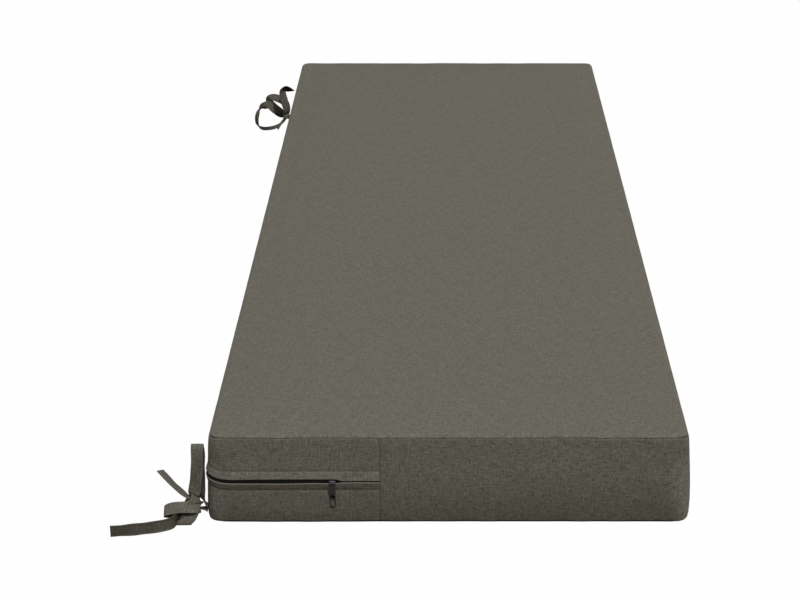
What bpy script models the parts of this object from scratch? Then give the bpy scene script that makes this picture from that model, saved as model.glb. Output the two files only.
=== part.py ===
"""Long bench cushion: crowned filled body, boxing strips, wrap-round zip panel and two bow ties.

The origin is on the ground under the middle of the cushion. X runs across it, Y along it
and Z up. The zip and both ties are on the -X side, and the zip ends on the near (-Y) end.
"""
import math

import bmesh
import bpy
from mathutils import Vector

MM = 0.001

# Driving dimensions of the cushion, in metres
LENGTH = 1.50            # along Y, measured on the top seam
WIDTH = 0.50             # along X, measured on the top seam
TOP_SEAM = 0.0975        # height of the top seam
FOOT_SEAM = 0.0030       # height of the bottom seam
CROWN = 0.0090           # how far the top panel rises above its seam
CLOTH = 0.0018           # thickness of the cover cloth
GAP = 0.0003             # clearance between neighbouring pieces

# The zip, in metres
CROSS_SEAM_X = -0.072    # where the zip panel ends on each short end
ZIP_Z = 0.0493           # height of the middle of the zip
ZIP_GAP = 0.0039         # open height between the two flaps
ZIP_SHUT = 0.0005        # height left between the flaps where they meet
STITCH_RISE = 0.0104     # from the middle of the zip to each row of top stitching
SLIDER_X = -0.1215       # where the slider stopped on the near end
MEET_X = -0.1105         # the flaps meet from here to the cross seam
MEET_REACH = 0.008       # length over which they draw together
ZIP_STEPS_X = (-0.095, MEET_X, -0.1185, -0.1245, -0.175)

# Slider and pull, in metres
SLIDER_STEM = (0.0066, 0.0027)   # along the zip, up
SLIDER_CAP = (0.0074, 0.0046)
SLIDER_BACK = 0.0016             # the stem's back and the cap's front, out from the side
SLIDER_FRONT = 0.0060
SLIDER_EDGE = 0.0006
PULL_THICK = 0.0009
PULL_STANDS = 0.0052             # out from the side, where the pull hangs
PULL_DROP = 0.0030               # below the middle of the zip
PULL_LEAN = 8.0                  # degrees
PULL_WINDOW = (0.0040, 0.0150, 0.0252)   # width, top and bottom of the slot in it

# The ties, in metres
TAPE_WIDTH = 0.013
TAPE_THICK = 0.0015
FRONT_TIE_Y = -0.735
BACK_TIE_Y = 0.690
SLANT_REACH = 0.018      # length of tape that a slanted cut end is drawn out over

# Steps along the outline, and the smallest radius of a panel's corners
MIN_RADIUS = 0.005
CORNER_STEPS = 6
LONG_STEPS = 10
SHORT_STEPS = 4

# The side of the cushion, tight at the seams and bowed between them: share of the height
# between the seams, how far it stands out, and the plan radius of the four upright corners
SIDE_SHAPE = (
    # share, out in mm, corner radius in mm
    (1.00, 0.0, 10.0),
    (0.95, 1.4, 12.5),
    (0.80, 2.6, 20.0),
    (0.50, 3.9, 28.0),
    (0.22, 4.9, 21.5),
    (0.08, 4.7, 15.5),
    (0.00, 3.4, 13.0),
)

# The bottom panel from the flat outwards: how far inside the seam line, and its height
BOTTOM_SHAPE = (
    # inside in mm, up in mm
    (11.0, 0.0),
    (3.0, 0.1),
    (-2.2, 1.0),
)

# The top panel from its seam inwards: how far inside the seam line, and share of the crown
CROWN_SHAPE = (
    # inside in mm, share
    (1.2, 0.24),
    (4.5, 0.44),
    (12.0, 0.60),
    (30.0, 0.77),
    (65.0, 0.90),
    (120.0, 0.98),
    (190.0, 1.00),
)

# One flap of the zip panel, from its stitching to its lip and back behind the zip: the rise is
# measured from the stitching or from the lip
FLAP_SHAPE = (
    # measured from, rise in mm, out in mm
    ("stitching", 0.8, 0.0),
    ("stitching", 0.0, -0.4),
    ("stitching", -0.8, 0.6),
    ("lip", 0.9, 3.0),
    ("lip", 0.0, 2.5),
    ("lip", 0.0, 0.8),
    ("stitching", -4.0, -0.6),
    ("stitching", -1.4, -1.8),
)

# The zip's woven tape, with the closed coil standing out along its middle
ZIP_TAPE_SHAPE = (
    # rise in mm, out in mm, 1 where the open flaps let the coil swell
    (5.8, -1.8, 0),
    (5.8, -1.0, 0),
    (1.3, -0.9, 0),
    (1.04, -0.8, 1),
    (0.0, -0.6, 1),
    (-1.04, -0.8, 1),
    (-1.3, -0.9, 0),
    (-5.8, -1.0, 0),
    (-5.8, -1.8, 0),
)
COIL_SWELL = 0.0018

# Half the outline of the zip pull, downwards from where it hangs
PULL_SHAPE = (
    # half width in mm, down in mm
    (2.2, 0.0),
    (3.8, 1.6),
    (3.6, 6.0),
    (2.6, 10.5),
    (2.8, 13.5),
    (3.4, 16.0),
    (3.4, 24.0),
    (2.2, 26.4),
    (0.0, 27.0),
)

# Each tape's route: mm outwards from the seam line, along from the root and up from the
# ground, then the direction across the tape in the same three axes
FRONT_TAPE_UP = (
    # out, along, up, across out, across along, across up
    (5.6, 1.5, 10.9, 0.00, 1.00, -0.10),
    (7.0, 1.5, 12.1, 0.00, 0.97, -0.25),
    (8.6, 1.5, 15.0, 0.00, 0.95, -0.33),
    (10.0, 2.0, 23.0, 0.00, 0.93, -0.37),
    (10.4, 3.0, 34.0, 0.10, 0.95, -0.34),
    (10.8, 4.0, 45.5, 0.35, 0.88, -0.22),
    (11.4, 5.0, 59.0, 0.75, 0.60, -0.05),
    (12.6, 5.5, 70.5, 1.00, 0.15, 0.00),
    (13.4, 3.8, 78.5, 1.00, 0.00, 0.00),
    (13.4, 0.0, 82.2, 1.00, 0.00, 0.00),
    (13.0, -3.8, 79.0, 1.00, 0.00, 0.00),
    (12.6, -5.5, 71.0, 0.93, -0.25, 0.00),
    (12.6, -6.5, 60.0, 0.85, -0.45, 0.00),
    (13.7, -7.0, 49.5, 0.95, -0.25, 0.03),
    (15.5, -7.5, 39.5, 1.00, 0.00, 0.08),
    (17.5, -8.5, 32.0, 1.00, 0.00, 0.15),
    (20.0, -9.0, 26.0, 1.00, 0.00, 0.20),
)
FRONT_TAIL_UP = (
    (22.0, -9.5, 25.0, 0.00, 0.95, -0.10),
    (30.0, -10.5, 32.0, 0.00, 0.95, -0.08),
    (37.5, -11.5, 40.0, -0.02, 0.96, -0.06),
    (44.5, -12.5, 48.9, -0.05, 0.97, -0.02),
    (51.5, -13.5, 58.2, -0.08, 0.97, 0.03),
)
FRONT_ROOT = (
    (5.1, -1.5, 8.2, 0.00, 1.00, 0.00),
    (8.0, -1.7, 8.6, 0.00, 0.99, -0.15),
    (13.0, -3.6, 10.4, 0.00, 0.93, -0.37),
    (17.4, -4.8, 13.6, 0.00, 0.93, -0.37),
    (21.5, -6.6, 19.0, 0.00, 0.93, -0.37),
)
FRONT_LOOP_LOW = (
    (22.5, -9.0, 19.5, 0.00, 0.85, 0.50),
    (31.0, -7.0, 11.0, 0.00, 0.80, 0.60),
    (41.0, -6.0, 7.2, 0.00, 0.75, 0.66),
    (48.0, -7.5, 7.6, 0.00, 0.72, 0.69),
    (50.3, -11.0, 10.0, 0.00, 0.70, 0.71),
    (47.0, -14.8, 13.8, 0.00, 0.68, 0.73),
    (39.5, -17.0, 17.0, 0.00, 0.66, 0.75),
    (29.5, -18.5, 18.8, 0.00, 0.66, 0.75),
    (21.0, -17.5, 18.5, 0.00, 0.66, 0.75),
    (15.0, -14.5, 16.8, 0.00, 0.66, 0.75),
    (12.2, -11.0, 15.6, 0.00, 0.66, 0.75),
    (15.0, -8.6, 16.0, 0.00, 0.68, 0.73),
    (20.5, -8.0, 19.0, 0.00, 0.72, 0.69),
)
FRONT_TAIL_LOW = (
    (20.6, -8.5, 22.5, 1.00, 0.00, 0.10),
    (17.6, -13.8, 16.6, 0.95, 0.10, 0.10),
    (18.2, -15.0, 11.0, 0.70, 0.45, 0.40),
    (23.2, -19.5, 6.8, 0.40, 0.62, 0.60),
    (31.2, -24.5, 5.6, 0.10, 0.70, 0.68),
    (43.8, -31.0, 4.8, 0.00, 0.78, 0.60),
    (56.2, -37.0, 4.8, 0.00, 0.82, 0.57),
    (77.5, -42.0, 4.8, 0.00, 0.82, 0.57),
    (102.0, -47.0, 4.9, 0.00, 0.82, 0.57),
)
BACK_ROOT = (
    (5.1, -4.0, 8.2, 0.00, 1.00, 0.00),
    (8.9, -4.4, 9.3, 0.00, 1.00, 0.00),
    (17.0, -10.0, 18.0, 0.00, 1.00, 0.00),
    (24.0, -15.0, 25.5, 0.00, 1.00, 0.00),
)
BACK_RING = (
    (25.8, -15.0, 22.8, 0.00, 1.00, 0.00),
    (31.2, -14.5, 16.3, 0.00, 1.00, 0.00),
    (43.6, -14.0, 7.0, 0.00, 1.00, 0.10),
    (57.0, -14.0, 3.4, 0.00, 1.00, 0.15),
    (67.5, -14.5, 3.6, 0.00, 1.00, 0.20),
    (74.5, -15.0, 9.4, 0.00, 1.00, 0.20),
    (76.3, -16.0, 21.3, 0.15, 1.00, 0.10),
    (72.8, -16.0, 32.8, 0.15, 1.00, 0.00),
    (66.6, -17.0, 42.3, 0.00, 1.00, 0.10),
    (59.5, -18.0, 47.8, 0.00, 1.00, 0.00),
    (52.5, -18.5, 48.0, 0.20, 0.95, -0.10),
    (48.5, -19.0, 41.2, 0.45, 0.75, -0.45),
    (41.2, -19.0, 33.8, 0.50, 0.70, -0.45),
    (30.5, -17.5, 28.0, 0.60, 0.50, -0.60),
)
BACK_LOOP = (
    (25.5, -14.5, 30.0, -0.60, 0.60, 0.30),
    (24.5, -11.5, 38.5, -0.60, 0.60, 0.40),
    (26.0, -9.5, 47.5, -0.60, 0.60, 0.50),
    (31.5, -9.0, 54.5, -0.50, 0.70, 0.50),
    (39.0, -10.0, 59.3, -0.30, 0.80, 0.50),
    (46.8, -11.0, 61.4, -0.20, 0.90, 0.40),
    (53.0, -13.0, 60.9, 0.00, 1.00, 0.10),
    (57.4, -14.0, 57.6, 0.10, 1.00, 0.00),
    (55.7, -14.5, 53.6, 0.20, 0.95, -0.10),
    (51.4, -15.0, 52.0, 0.30, 0.80, -0.35),
    (43.8, -15.5, 46.9, 0.50, 0.60, -0.50),
    (35.5, -16.0, 37.3, 0.60, 0.50, -0.60),
    (28.4, -16.0, 31.0, 0.60, 0.50, -0.60),
)
BACK_TAIL_UP = (
    (24.0, -17.0, 28.0, -0.62, 0.76, 0.16),
    (23.0, -20.5, 41.6, -0.62, 0.76, 0.16),
    (28.2, -21.0, 58.6, -0.62, 0.76, 0.16),
    (31.1, -20.0, 69.0, -0.60, 0.78, 0.05),
    (28.8, -19.0, 74.8, -0.40, 0.84, -0.30),
    (22.8, -18.0, 75.2, -0.10, 0.68, -0.70),
    (16.0, -17.5, 71.0, 0.10, 0.58, -0.81),
)
BACK_TAIL_LOW = (
    (26.5, -17.0, 26.0, 0.10, 1.00, 0.00),
    (33.0, -18.0, 16.5, 0.10, 1.00, 0.00),
    (40.5, -20.0, 5.2, 0.10, 1.00, 0.00),
)


def clear_objects():
    for old in list(bpy.data.objects):
        bpy.data.objects.remove(old, do_unlink=True)


def new_collection(name):
    collection = bpy.data.collections.new(name)
    bpy.context.scene.collection.children.link(collection)
    return collection


def principled(name, colour, roughness, metallic=0.0):
    material = bpy.data.materials.new(name)
    material.use_nodes = True
    shader = material.node_tree.nodes["Principled BSDF"]
    shader.inputs["Base Color"].default_value = (*colour, 1.0)
    shader.inputs["Roughness"].default_value = roughness
    shader.inputs["Metallic"].default_value = metallic
    return material


def add_object(name, bm, material, collection, smooth_angle=40.0):
    bmesh.ops.recalc_face_normals(bm, faces=bm.faces)
    mesh = bpy.data.meshes.new(name)
    bm.to_mesh(mesh)
    bm.free()
    mesh.materials.append(material)
    mesh.shade_smooth()
    mesh.set_sharp_from_angle(angle=math.radians(smooth_angle))
    made = bpy.data.objects.new(name, mesh)
    collection.objects.link(made)
    return made


# ---------------------------------------------------------------- outline of the cushion

def side_value(height, column):
    """A column of the side's table at this height, in metres."""
    share = (height - FOOT_SEAM) / (TOP_SEAM - FOOT_SEAM)
    for upper, lower in zip(SIDE_SHAPE, SIDE_SHAPE[1:]):
        if share >= lower[0]:
            blend = (share - lower[0]) / (upper[0] - lower[0])
            return (lower[column] + (upper[column] - lower[column]) * blend) * MM
    return SIDE_SHAPE[-1][column] * MM


def side_out(height):
    """How far the side stands out from the seam line at this height."""
    return side_value(height, 1)


def corner_radius(height):
    """Plan radius of the upright corners at this height, before the side's bow."""
    return side_value(height, 2)


def side_heights():
    return [FOOT_SEAM + row[0] * (TOP_SEAM - FOOT_SEAM) for row in SIDE_SHAPE]


def corner_stations(sign_x, sign_y, start_deg):
    """Stations round one corner: the square corner's point, the normal, and the shift for a radius of 1."""
    point = Vector((sign_x * WIDTH / 2, sign_y * LENGTH / 2, 0.0))
    inwards = Vector((-sign_x, -sign_y, 0.0))
    stations = []
    for step in range(CORNER_STEPS + 1):
        angle = math.radians(start_deg + 90.0 * step / CORNER_STEPS)
        normal = Vector((math.cos(angle), math.sin(angle), 0.0))
        stations.append((point, normal, inwards + normal))
    return stations


def straight_station(place, normal):
    """A station on a straight side, which no corner radius moves."""
    return place, normal, Vector((0.0, 0.0, 0.0))


def split(start, end, steps):
    """Stations between two others on a straight side, both ends left out."""
    first, normal = start[:2]
    last = end[0]
    return [straight_station(first.lerp(last, step / steps), normal) for step in range(1, steps)]


CORNERS = (
    # sign x, sign y, where the corner's arc starts in degrees
    (1, -1, 270.0),
    (1, 1, 0.0),
    (-1, 1, 90.0),
    (-1, -1, 180.0),
)


def outline_stations():
    """The whole seam line, counter-clockwise from the near end's right corner."""
    arcs = [corner_stations(*corner) for corner in CORNERS]
    stations = []
    for index, arc in enumerate(arcs):
        following = arcs[(index + 1) % len(arcs)]
        steps = LONG_STEPS if index % 2 == 0 else SHORT_STEPS
        stations += arc + split(arc[-1], following[0], steps)
    return stations


def place_at(station, out, height):
    """A point of a station at a height, a distance out from the seam line."""
    point, normal, rounding = station
    flat = point + rounding * corner_radius(height) + normal * out
    return Vector((flat.x, flat.y, height))


def panel_place(station, inside, height):
    """A point of the top or bottom panel, inside the seam line; the corners stay a little round."""
    if inside <= 0.0:
        return place_at(station, -inside, height)
    point, normal, rounding = station
    radius = max(MIN_RADIUS, corner_radius(height) - inside)
    flat = point + rounding * radius
    flat.x *= (WIDTH / 2 - inside) / (WIDTH / 2)
    flat.y *= (LENGTH / 2 - inside) / (LENGTH / 2)
    return Vector((flat.x, flat.y, height))


# ------------------------------------------------------------------------- extruding

def grow_face(bm, face, places, first):
    """Extrude one face and put the new one's corners at the places given."""
    made = bmesh.ops.extrude_face_region(bm, geom=[face])["geom"]
    grown = next(item for item in made if isinstance(item, bmesh.types.BMFace))
    if not first:
        bmesh.ops.delete(bm, geom=[face], context="FACES_ONLY")
    for vert, place in zip(grown.verts, places):
        vert.co = place
    return grown


def stack_sections(sections):
    """A closed solid made by extruding a face from each section to the next."""
    bm = bmesh.new()
    face = bm.faces.new([bm.verts.new(place) for place in sections[0]])
    for number, places in enumerate(sections[1:]):
        face = grow_face(bm, face, places, first=number == 0)
    return bm


def strip_along(stations, section_at):
    """A strip of cloth round the side: section_at gives (out, height) pairs for a station."""
    sections = []
    for number, station in enumerate(stations):
        sections.append([place_at(station, out, up) for out, up in section_at(number)])
    return stack_sections(sections)


# --------------------------------------------------------------------- cushion body

def make_cushion(collection, material):
    """Top panel, bottom panel and filling, with a shallow rebate where the boxing lies."""
    levels = [(-inside * MM, up * MM) for inside, up in BOTTOM_SHAPE]
    levels.append((side_out(FOOT_SEAM), FOOT_SEAM))
    for height in reversed(side_heights()):
        levels.append((side_out(height) - CLOTH - GAP, height))
    levels.append((0.0, TOP_SEAM))
    for inside, share in CROWN_SHAPE:
        levels.append((-inside * MM, TOP_SEAM + share * CROWN))
    stations = outline_stations()
    sections = []
    for out, height in levels:
        sections.append([panel_place(station, -out, height) for station in stations])
    return add_object("cushion", stack_sections(sections), material, collection)


# ------------------------------------------------------------------- boxing strips

def end_straight(sign_y, x_places):
    """Stations on a short end, near for -1 and far for 1, at these X places."""
    normal = Vector((0.0, sign_y, 0.0))
    return [straight_station(Vector((x, sign_y * LENGTH / 2, 0.0)), normal) for x in x_places]


def make_plain_boxing(collection, material):
    seam = CROSS_SEAM_X + GAP / 2
    right_near = corner_stations(1, -1, 270.0)
    right_far = corner_stations(1, 1, 0.0)
    start = end_straight(-1, [seam])
    finish = end_straight(1, [seam])
    stations = start + split(start[0], right_near[0], SHORT_STEPS) + right_near
    stations += split(right_near[-1], right_far[0], LONG_STEPS) + right_far
    stations += split(right_far[-1], finish[0], SHORT_STEPS) + finish
    heights = [TOP_SEAM - GAP] + side_heights()[1:-1] + [FOOT_SEAM + GAP]
    outer = [(side_out(height), height) for height in heights]
    inner = [(side_out(height) - CLOTH, height) for height in reversed(heights)]
    boxing = strip_along(stations, lambda number: outer + inner)
    return add_object("boxing_plain", boxing, material, collection)


def zip_stations():
    """Stations of the zip panel from the near cross seam round the left side to the far one."""
    seam = CROSS_SEAM_X - GAP / 2
    left_near = corner_stations(-1, -1, 180.0)[::-1]
    left_far = corner_stations(-1, 1, 90.0)[::-1]
    near = end_straight(-1, [seam, *ZIP_STEPS_X])
    far = end_straight(1, [*reversed(ZIP_STEPS_X), seam])
    stations = near + left_near
    stations += split(left_near[-1], left_far[0], LONG_STEPS) + left_far + far
    return stations


def zip_open(place):
    """1 where the flaps stand apart, 0 where they meet beyond the slider."""
    if abs(place.y) < LENGTH / 2 - GAP:
        return 1.0
    return max(0.0, min(1.0, (MEET_X - place.x) / MEET_REACH))


def flap_lip(station):
    """Height from the middle of the zip to the flap's lip."""
    return (ZIP_SHUT + zip_open(station[0]) * (ZIP_GAP - ZIP_SHUT)) / 2


def flap_profile(side, lip, edge_height):
    """The section of one half of the zip panel; side is 1 above the zip and -1 below it."""
    clear = STITCH_RISE + CLOTH
    heights = [height for height in side_heights() if side * (height - ZIP_Z) > clear]
    heights = sorted(heights, reverse=side > 0)[1:]
    skin = [(side_out(edge_height), edge_height)] + [(side_out(up), up) for up in heights]
    starts = {"stitching": STITCH_RISE, "lip": lip}
    flap = []
    for start, rise, out in FLAP_SHAPE:
        height = ZIP_Z + side * (starts[start] + rise * MM)
        flap.append((side_out(height) + out * MM, height))
    backing = [(side_out(up) - CLOTH, up) for up in reversed(heights)]
    backing.append((side_out(edge_height) - CLOTH, edge_height))
    return skin + flap + backing


def make_zip_panel(collection, material):
    stations = zip_stations()
    halves = (
        # node name, side, height of the outer edge
        ("zip_panel_upper", 1, TOP_SEAM - GAP),
        ("zip_panel_lower", -1, FOOT_SEAM + GAP),
    )
    for name, side, edge in halves:
        strip = strip_along(stations, lambda number: flap_profile(side, flap_lip(stations[number]), edge))
        add_object(name, strip, material, collection)


def make_zip_tape(collection, material):
    stations = zip_stations()

    def section(number):
        swell = COIL_SWELL * zip_open(stations[number][0])
        return [(side_out(ZIP_Z + rise * MM) + out * MM + on_coil * swell, ZIP_Z + rise * MM)
                for rise, out, on_coil in ZIP_TAPE_SHAPE]

    add_object("zip_tape", strip_along(stations, section), material, collection)


# ------------------------------------------------------------------ slider and pull

def flat_plate(name, outline, hole, thick, material, collection):
    """A flat plate in its own XY plane, from an outline and one hole."""
    curve = bpy.data.curves.new(name, "CURVE")
    curve.dimensions = "2D"
    curve.fill_mode = "BOTH"
    curve.extrude = thick / 2
    for loop in (outline, hole):
        spline = curve.splines.new("POLY")
        spline.points.add(len(loop) - 1)
        for point, (across, down) in zip(spline.points, loop):
            point.co = (across, -down, 0.0, 1.0)
        spline.use_cyclic_u = True
    curve.materials.append(material)
    plate = bpy.data.objects.new(name, curve)
    collection.objects.link(plate)
    return plate


def round_slot(width, top, bottom, steps=6):
    """A slot with round ends between two distances down."""
    radius = width / 2
    turns = [math.pi * step / steps for step in range(steps + 1)]
    upper = [(radius * math.cos(turn), top + radius - radius * math.sin(turn)) for turn in turns]
    lower = [(-radius * math.cos(turn), bottom - radius + radius * math.sin(turn)) for turn in turns]
    return upper + lower


def make_slider(collection, material):
    """The slider: a stem in the gap that widens to a cap over the flaps."""
    front = -LENGTH / 2 - side_out(ZIP_Z)
    bm = bmesh.new()
    bmesh.ops.create_cube(bm, size=1.0)
    for vert in bm.verts:
        is_cap = vert.co.y < 0.0
        along, up = SLIDER_CAP if is_cap else SLIDER_STEM
        vert.co.x = SLIDER_X + vert.co.x * along
        vert.co.z = ZIP_Z + vert.co.z * up
        vert.co.y = front - (SLIDER_FRONT if is_cap else SLIDER_BACK)
    slider = add_object("zip_slider", bm, material, collection)
    bevel = slider.modifiers.new("rounded edges", "BEVEL")
    bevel.width = SLIDER_EDGE
    bevel.segments = 2
    return slider


def make_pull(collection, material):
    """A flat pull that hangs from the slider and leans on the lower flap."""
    left = [(-half * MM, down * MM) for half, down in PULL_SHAPE]
    right = [(-across, down) for across, down in reversed(left[:-1])]
    pull = flat_plate("zip_pull", left + right, round_slot(*PULL_WINDOW), PULL_THICK, material, collection)
    pull.rotation_euler = (math.radians(90.0 + PULL_LEAN), 0.0, 0.0)
    pull.location = (SLIDER_X, -LENGTH / 2 - side_out(ZIP_Z) - PULL_STANDS, ZIP_Z - PULL_DROP)
    return pull


# ------------------------------------------------------------------------------ ties

def smooth_route(rows, parts):
    """Points on a smooth curve through the rows, all six columns together."""
    knots = [rows[0]] + list(rows) + [rows[-1]]
    route = []
    for first, second, third, fourth in zip(knots, knots[1:], knots[2:], knots[3:]):
        for part in range(parts):
            t = part / parts
            weights = (
                (-t + 2 * t * t - t ** 3) / 2,
                (2 - 5 * t * t + 3 * t ** 3) / 2,
                (t + 4 * t * t - 3 * t ** 3) / 2,
                (-t * t + t ** 3) / 2,
            )
            columns = zip(first, second, third, fourth)
            route.append([sum(w * value for w, value in zip(weights, column)) for column in columns])
    route.append(list(rows[-1]))
    return route


def tape_sections(rows, root_y, parts=3, slant=0.0):
    """Sections of a flat tape along a route; slant pushes one corner of the free end on."""
    route = smooth_route(rows, parts)
    places = [Vector((-WIDTH / 2 - out * MM, root_y + along * MM, up * MM))
              for out, along, up, *across in route]
    sections = []
    for number, row in enumerate(route):
        before = places[max(number - 1, 0)]
        after = places[min(number + 1, len(places) - 1)]
        forward = (after - before).normalized()
        across = Vector((-row[3], row[4], row[5]))
        across = (across - across.dot(forward) * forward).normalized()
        normal = forward.cross(across)
        side = across * TAPE_WIDTH / 2
        face = normal * TAPE_THICK / 2
        centre = places[number]
        to_end = (places[-1] - centre).length
        shift = forward * slant * max(0.0, 1.0 - to_end / SLANT_REACH)
        sections.append([centre + side + face + shift, centre - side + face - shift,
                         centre - side - face - shift, centre + side - face + shift])
    return sections


def make_knot(name, centre, sizes, material, collection):
    bm = bmesh.new()
    bmesh.ops.create_icosphere(bm, subdivisions=2, radius=0.5)
    for vert in bm.verts:
        vert.co = Vector([place + part * size for place, part, size in zip(centre, vert.co, sizes)])
    return add_object(name, bm, material, collection)


TIES = (
    # name, root along Y, knot's centre (out, along, up) and sizes (X, Y, Z) in mm,
    # tapes as (route, how far one corner of the free end is drawn out)
    ("tie_front", FRONT_TIE_Y, (20.5, -9.0, 22.5), (19, 13, 17),
     ((FRONT_TAPE_UP, 0.0), (FRONT_TAIL_UP, -0.005), (FRONT_ROOT, 0.0),
      (FRONT_LOOP_LOW, 0.0), (FRONT_TAIL_LOW, 0.0))),
    ("tie_back", BACK_TIE_Y, (25.0, -15.5, 27.0), (11, 14, 14),
     ((BACK_ROOT, 0.0), (BACK_RING, 0.0), (BACK_LOOP, 0.0),
      (BACK_TAIL_UP, -0.004), (BACK_TAIL_LOW, 0.0))),
)


def make_tie(name, root_y, knot_centre, knot_sizes, tapes, collection, guides, material):
    """One tie: its tapes and its knot joined into one solid."""
    out, along, up = knot_centre
    centre = (-WIDTH / 2 - out * MM, root_y + along * MM, up * MM)
    tie = make_knot(name, centre, [size * MM for size in knot_sizes], material, collection)
    for number, (rows, slant) in enumerate(tapes):
        bm = stack_sections(tape_sections(rows, root_y, slant=slant))
        tape = add_object(f"{name}_tape_{number}", bm, material, guides)
        tape.hide_render = True
        tape.display_type = "WIRE"
        join = tie.modifiers.new(f"join tape {number}", "BOOLEAN")
        join.operation = "UNION"
        join.solver = "EXACT"
        join.use_self = True
        join.object = tape
    return tie


def main():
    clear_objects()
    collection = new_collection("bench_cushion")
    guides = new_collection("tape_guides")
    panel_cloth = principled("panel_cloth", (0.141, 0.133, 0.109), 0.92)
    zip_panel_cloth = principled("zip_panel_cloth", (0.135, 0.127, 0.103), 0.92)
    boxing_cloth = principled("boxing_cloth", (0.132, 0.124, 0.100), 0.92)
    zip_black = principled("zip_black", (0.012, 0.013, 0.012), 0.55)
    slider_metal = principled("slider_metal", (0.120, 0.120, 0.135), 0.38, metallic=0.9)
    pull_metal = principled("pull_metal", (0.110, 0.108, 0.115), 0.42, metallic=0.9)
    tape_cloth = principled("tape_cloth", (0.120, 0.114, 0.092), 0.92)

    make_cushion(collection, panel_cloth)
    make_plain_boxing(collection, boxing_cloth)
    make_zip_panel(collection, zip_panel_cloth)
    make_zip_tape(collection, zip_black)
    make_slider(collection, slider_metal)
    make_pull(collection, pull_metal)
    for tie in TIES:
        make_tie(*tie, collection, guides, tape_cloth)


main()
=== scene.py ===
"""The looks of the long bench cushion: filled body, boxing strip, zip panel, zip and two bow ties.

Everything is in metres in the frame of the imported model: X runs across the cushion, Y along it
and Z up, and the zip and both ties are on the -X side. Lengths along the cover are measured
round the seam line, counter-clockwise from the middle of the near end.
"""

import math

import bmesh
import bpy
import numpy as np
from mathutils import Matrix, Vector


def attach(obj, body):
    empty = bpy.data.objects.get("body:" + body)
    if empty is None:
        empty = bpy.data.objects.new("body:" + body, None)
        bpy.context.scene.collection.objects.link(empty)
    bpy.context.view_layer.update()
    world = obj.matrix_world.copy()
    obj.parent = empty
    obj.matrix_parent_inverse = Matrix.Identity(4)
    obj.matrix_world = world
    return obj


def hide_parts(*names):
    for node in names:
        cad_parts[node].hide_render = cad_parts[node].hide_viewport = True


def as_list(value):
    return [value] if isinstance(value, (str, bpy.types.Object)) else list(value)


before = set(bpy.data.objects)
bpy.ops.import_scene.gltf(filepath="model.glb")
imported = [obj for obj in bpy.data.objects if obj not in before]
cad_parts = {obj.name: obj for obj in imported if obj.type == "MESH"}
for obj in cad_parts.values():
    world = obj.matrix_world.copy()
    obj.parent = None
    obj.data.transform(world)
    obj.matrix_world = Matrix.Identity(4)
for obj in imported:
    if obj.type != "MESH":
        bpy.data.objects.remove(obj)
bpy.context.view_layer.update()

MM = 0.001
DRAWS = np.random.default_rng(41)

# The cushion, in metres
LENGTH = 1.50            # along Y, on the top seam
WIDTH = 0.50             # along X, on the top seam
TOP_SEAM = 0.0975
FOOT_SEAM = 0.0014
CORNER = 0.026           # radius of the corners of the line that lengths are measured on
INNER = 0.040            # how far inside the seam line the body's rings end
CROWN = 0.0090
CLOTH = 0.0018           # thickness of the cover's cloth
CROSS_SEAM_X = -0.072    # where the zip panel ends on each short end

# The strips stop just short of the long seams, their edges rolled in, and of the cross seams
TOP_EDGE, FOOT_EDGE, CROSS_EDGE = 0.0005, 0.0003, 0.0001
TOP_ROLL, FOOT_ROLL, ROLL_REACH = 0.0002, 0.0004, 0.0009
EDGE_STEPS = np.array([0.0, 0.0003, 0.0009, 0.0018, 0.0032, 0.0055])
ROW = 0.0032             # between the rows of points up a strip
STEP_ROUND = 0.0030      # between a strip's sections
BACK_INSET = 0.0002      # the back of a strip is this much shorter than its front at a seam

# The zip, in metres
ZIP_Z = 0.0503
ZIP_GAP = 0.0046         # open height between the two flaps
ZIP_SHUT = 0.0016        # height left between them where they meet
STITCH_RISE = 0.0104     # from the middle of the zip to each row of stitches
SLIDER_X = -0.1215
MEET_X = -0.1105         # the flaps meet from here to the cross seam
MEET_REACH = 0.008

# The side between the seams: share of the height, and how far it stands out in mm
SIDE_SHAPE = ((0, 3.6), (0.03, 4.4), (0.08, 4.9), (0.22, 5.0), (0.50, 4.2), (0.80, 2.4),
              (0.92, 1.3), (0.97, 0.75), (0.99, 0.35), (1, 0))
# The same on the two short ends, which are drawn in more at the foot
END_SHAPE = ((0, 1.7), (0.03, 2.2), (0.08, 3.0), (0.15, 3.9), (0.24, 4.7), (0.34, 5.1),
             (0.46, 5.0), (0.58, 4.3), (0.74, 2.8), (0.88, 1.5), (0.96, 0.8), (0.99, 0.4), (1, 0))
# Plan radius of the upright corners: share of the height, and radius in mm
CORNER_SHAPE = ((0, 11.5), (0.12, 14.5), (0.32, 20), (0.50, 22.5), (0.68, 20.5), (0.88, 12.5),
                (1, 8))
# The top panel: mm inside the seam line, and share of the crown
CROWN_SHAPE = ((0, 0), (1.2, 0.24), (4.5, 0.44), (12, 0.60), (30, 0.77), (65, 0.90),
               (120, 0.98), (190, 1), (260, 1))

# The ties, in metres
TAPE_WIDTH = 0.013
TAPE_THICK = 0.0015
FRONT_TIE_Y = -0.735
BACK_TIE_Y = 0.690
TAPE_STEP = 0.0009       # between the sections of a tape
SLANT_REACH = 0.018      # length of tape that a slanted cut end is drawn out over

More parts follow.
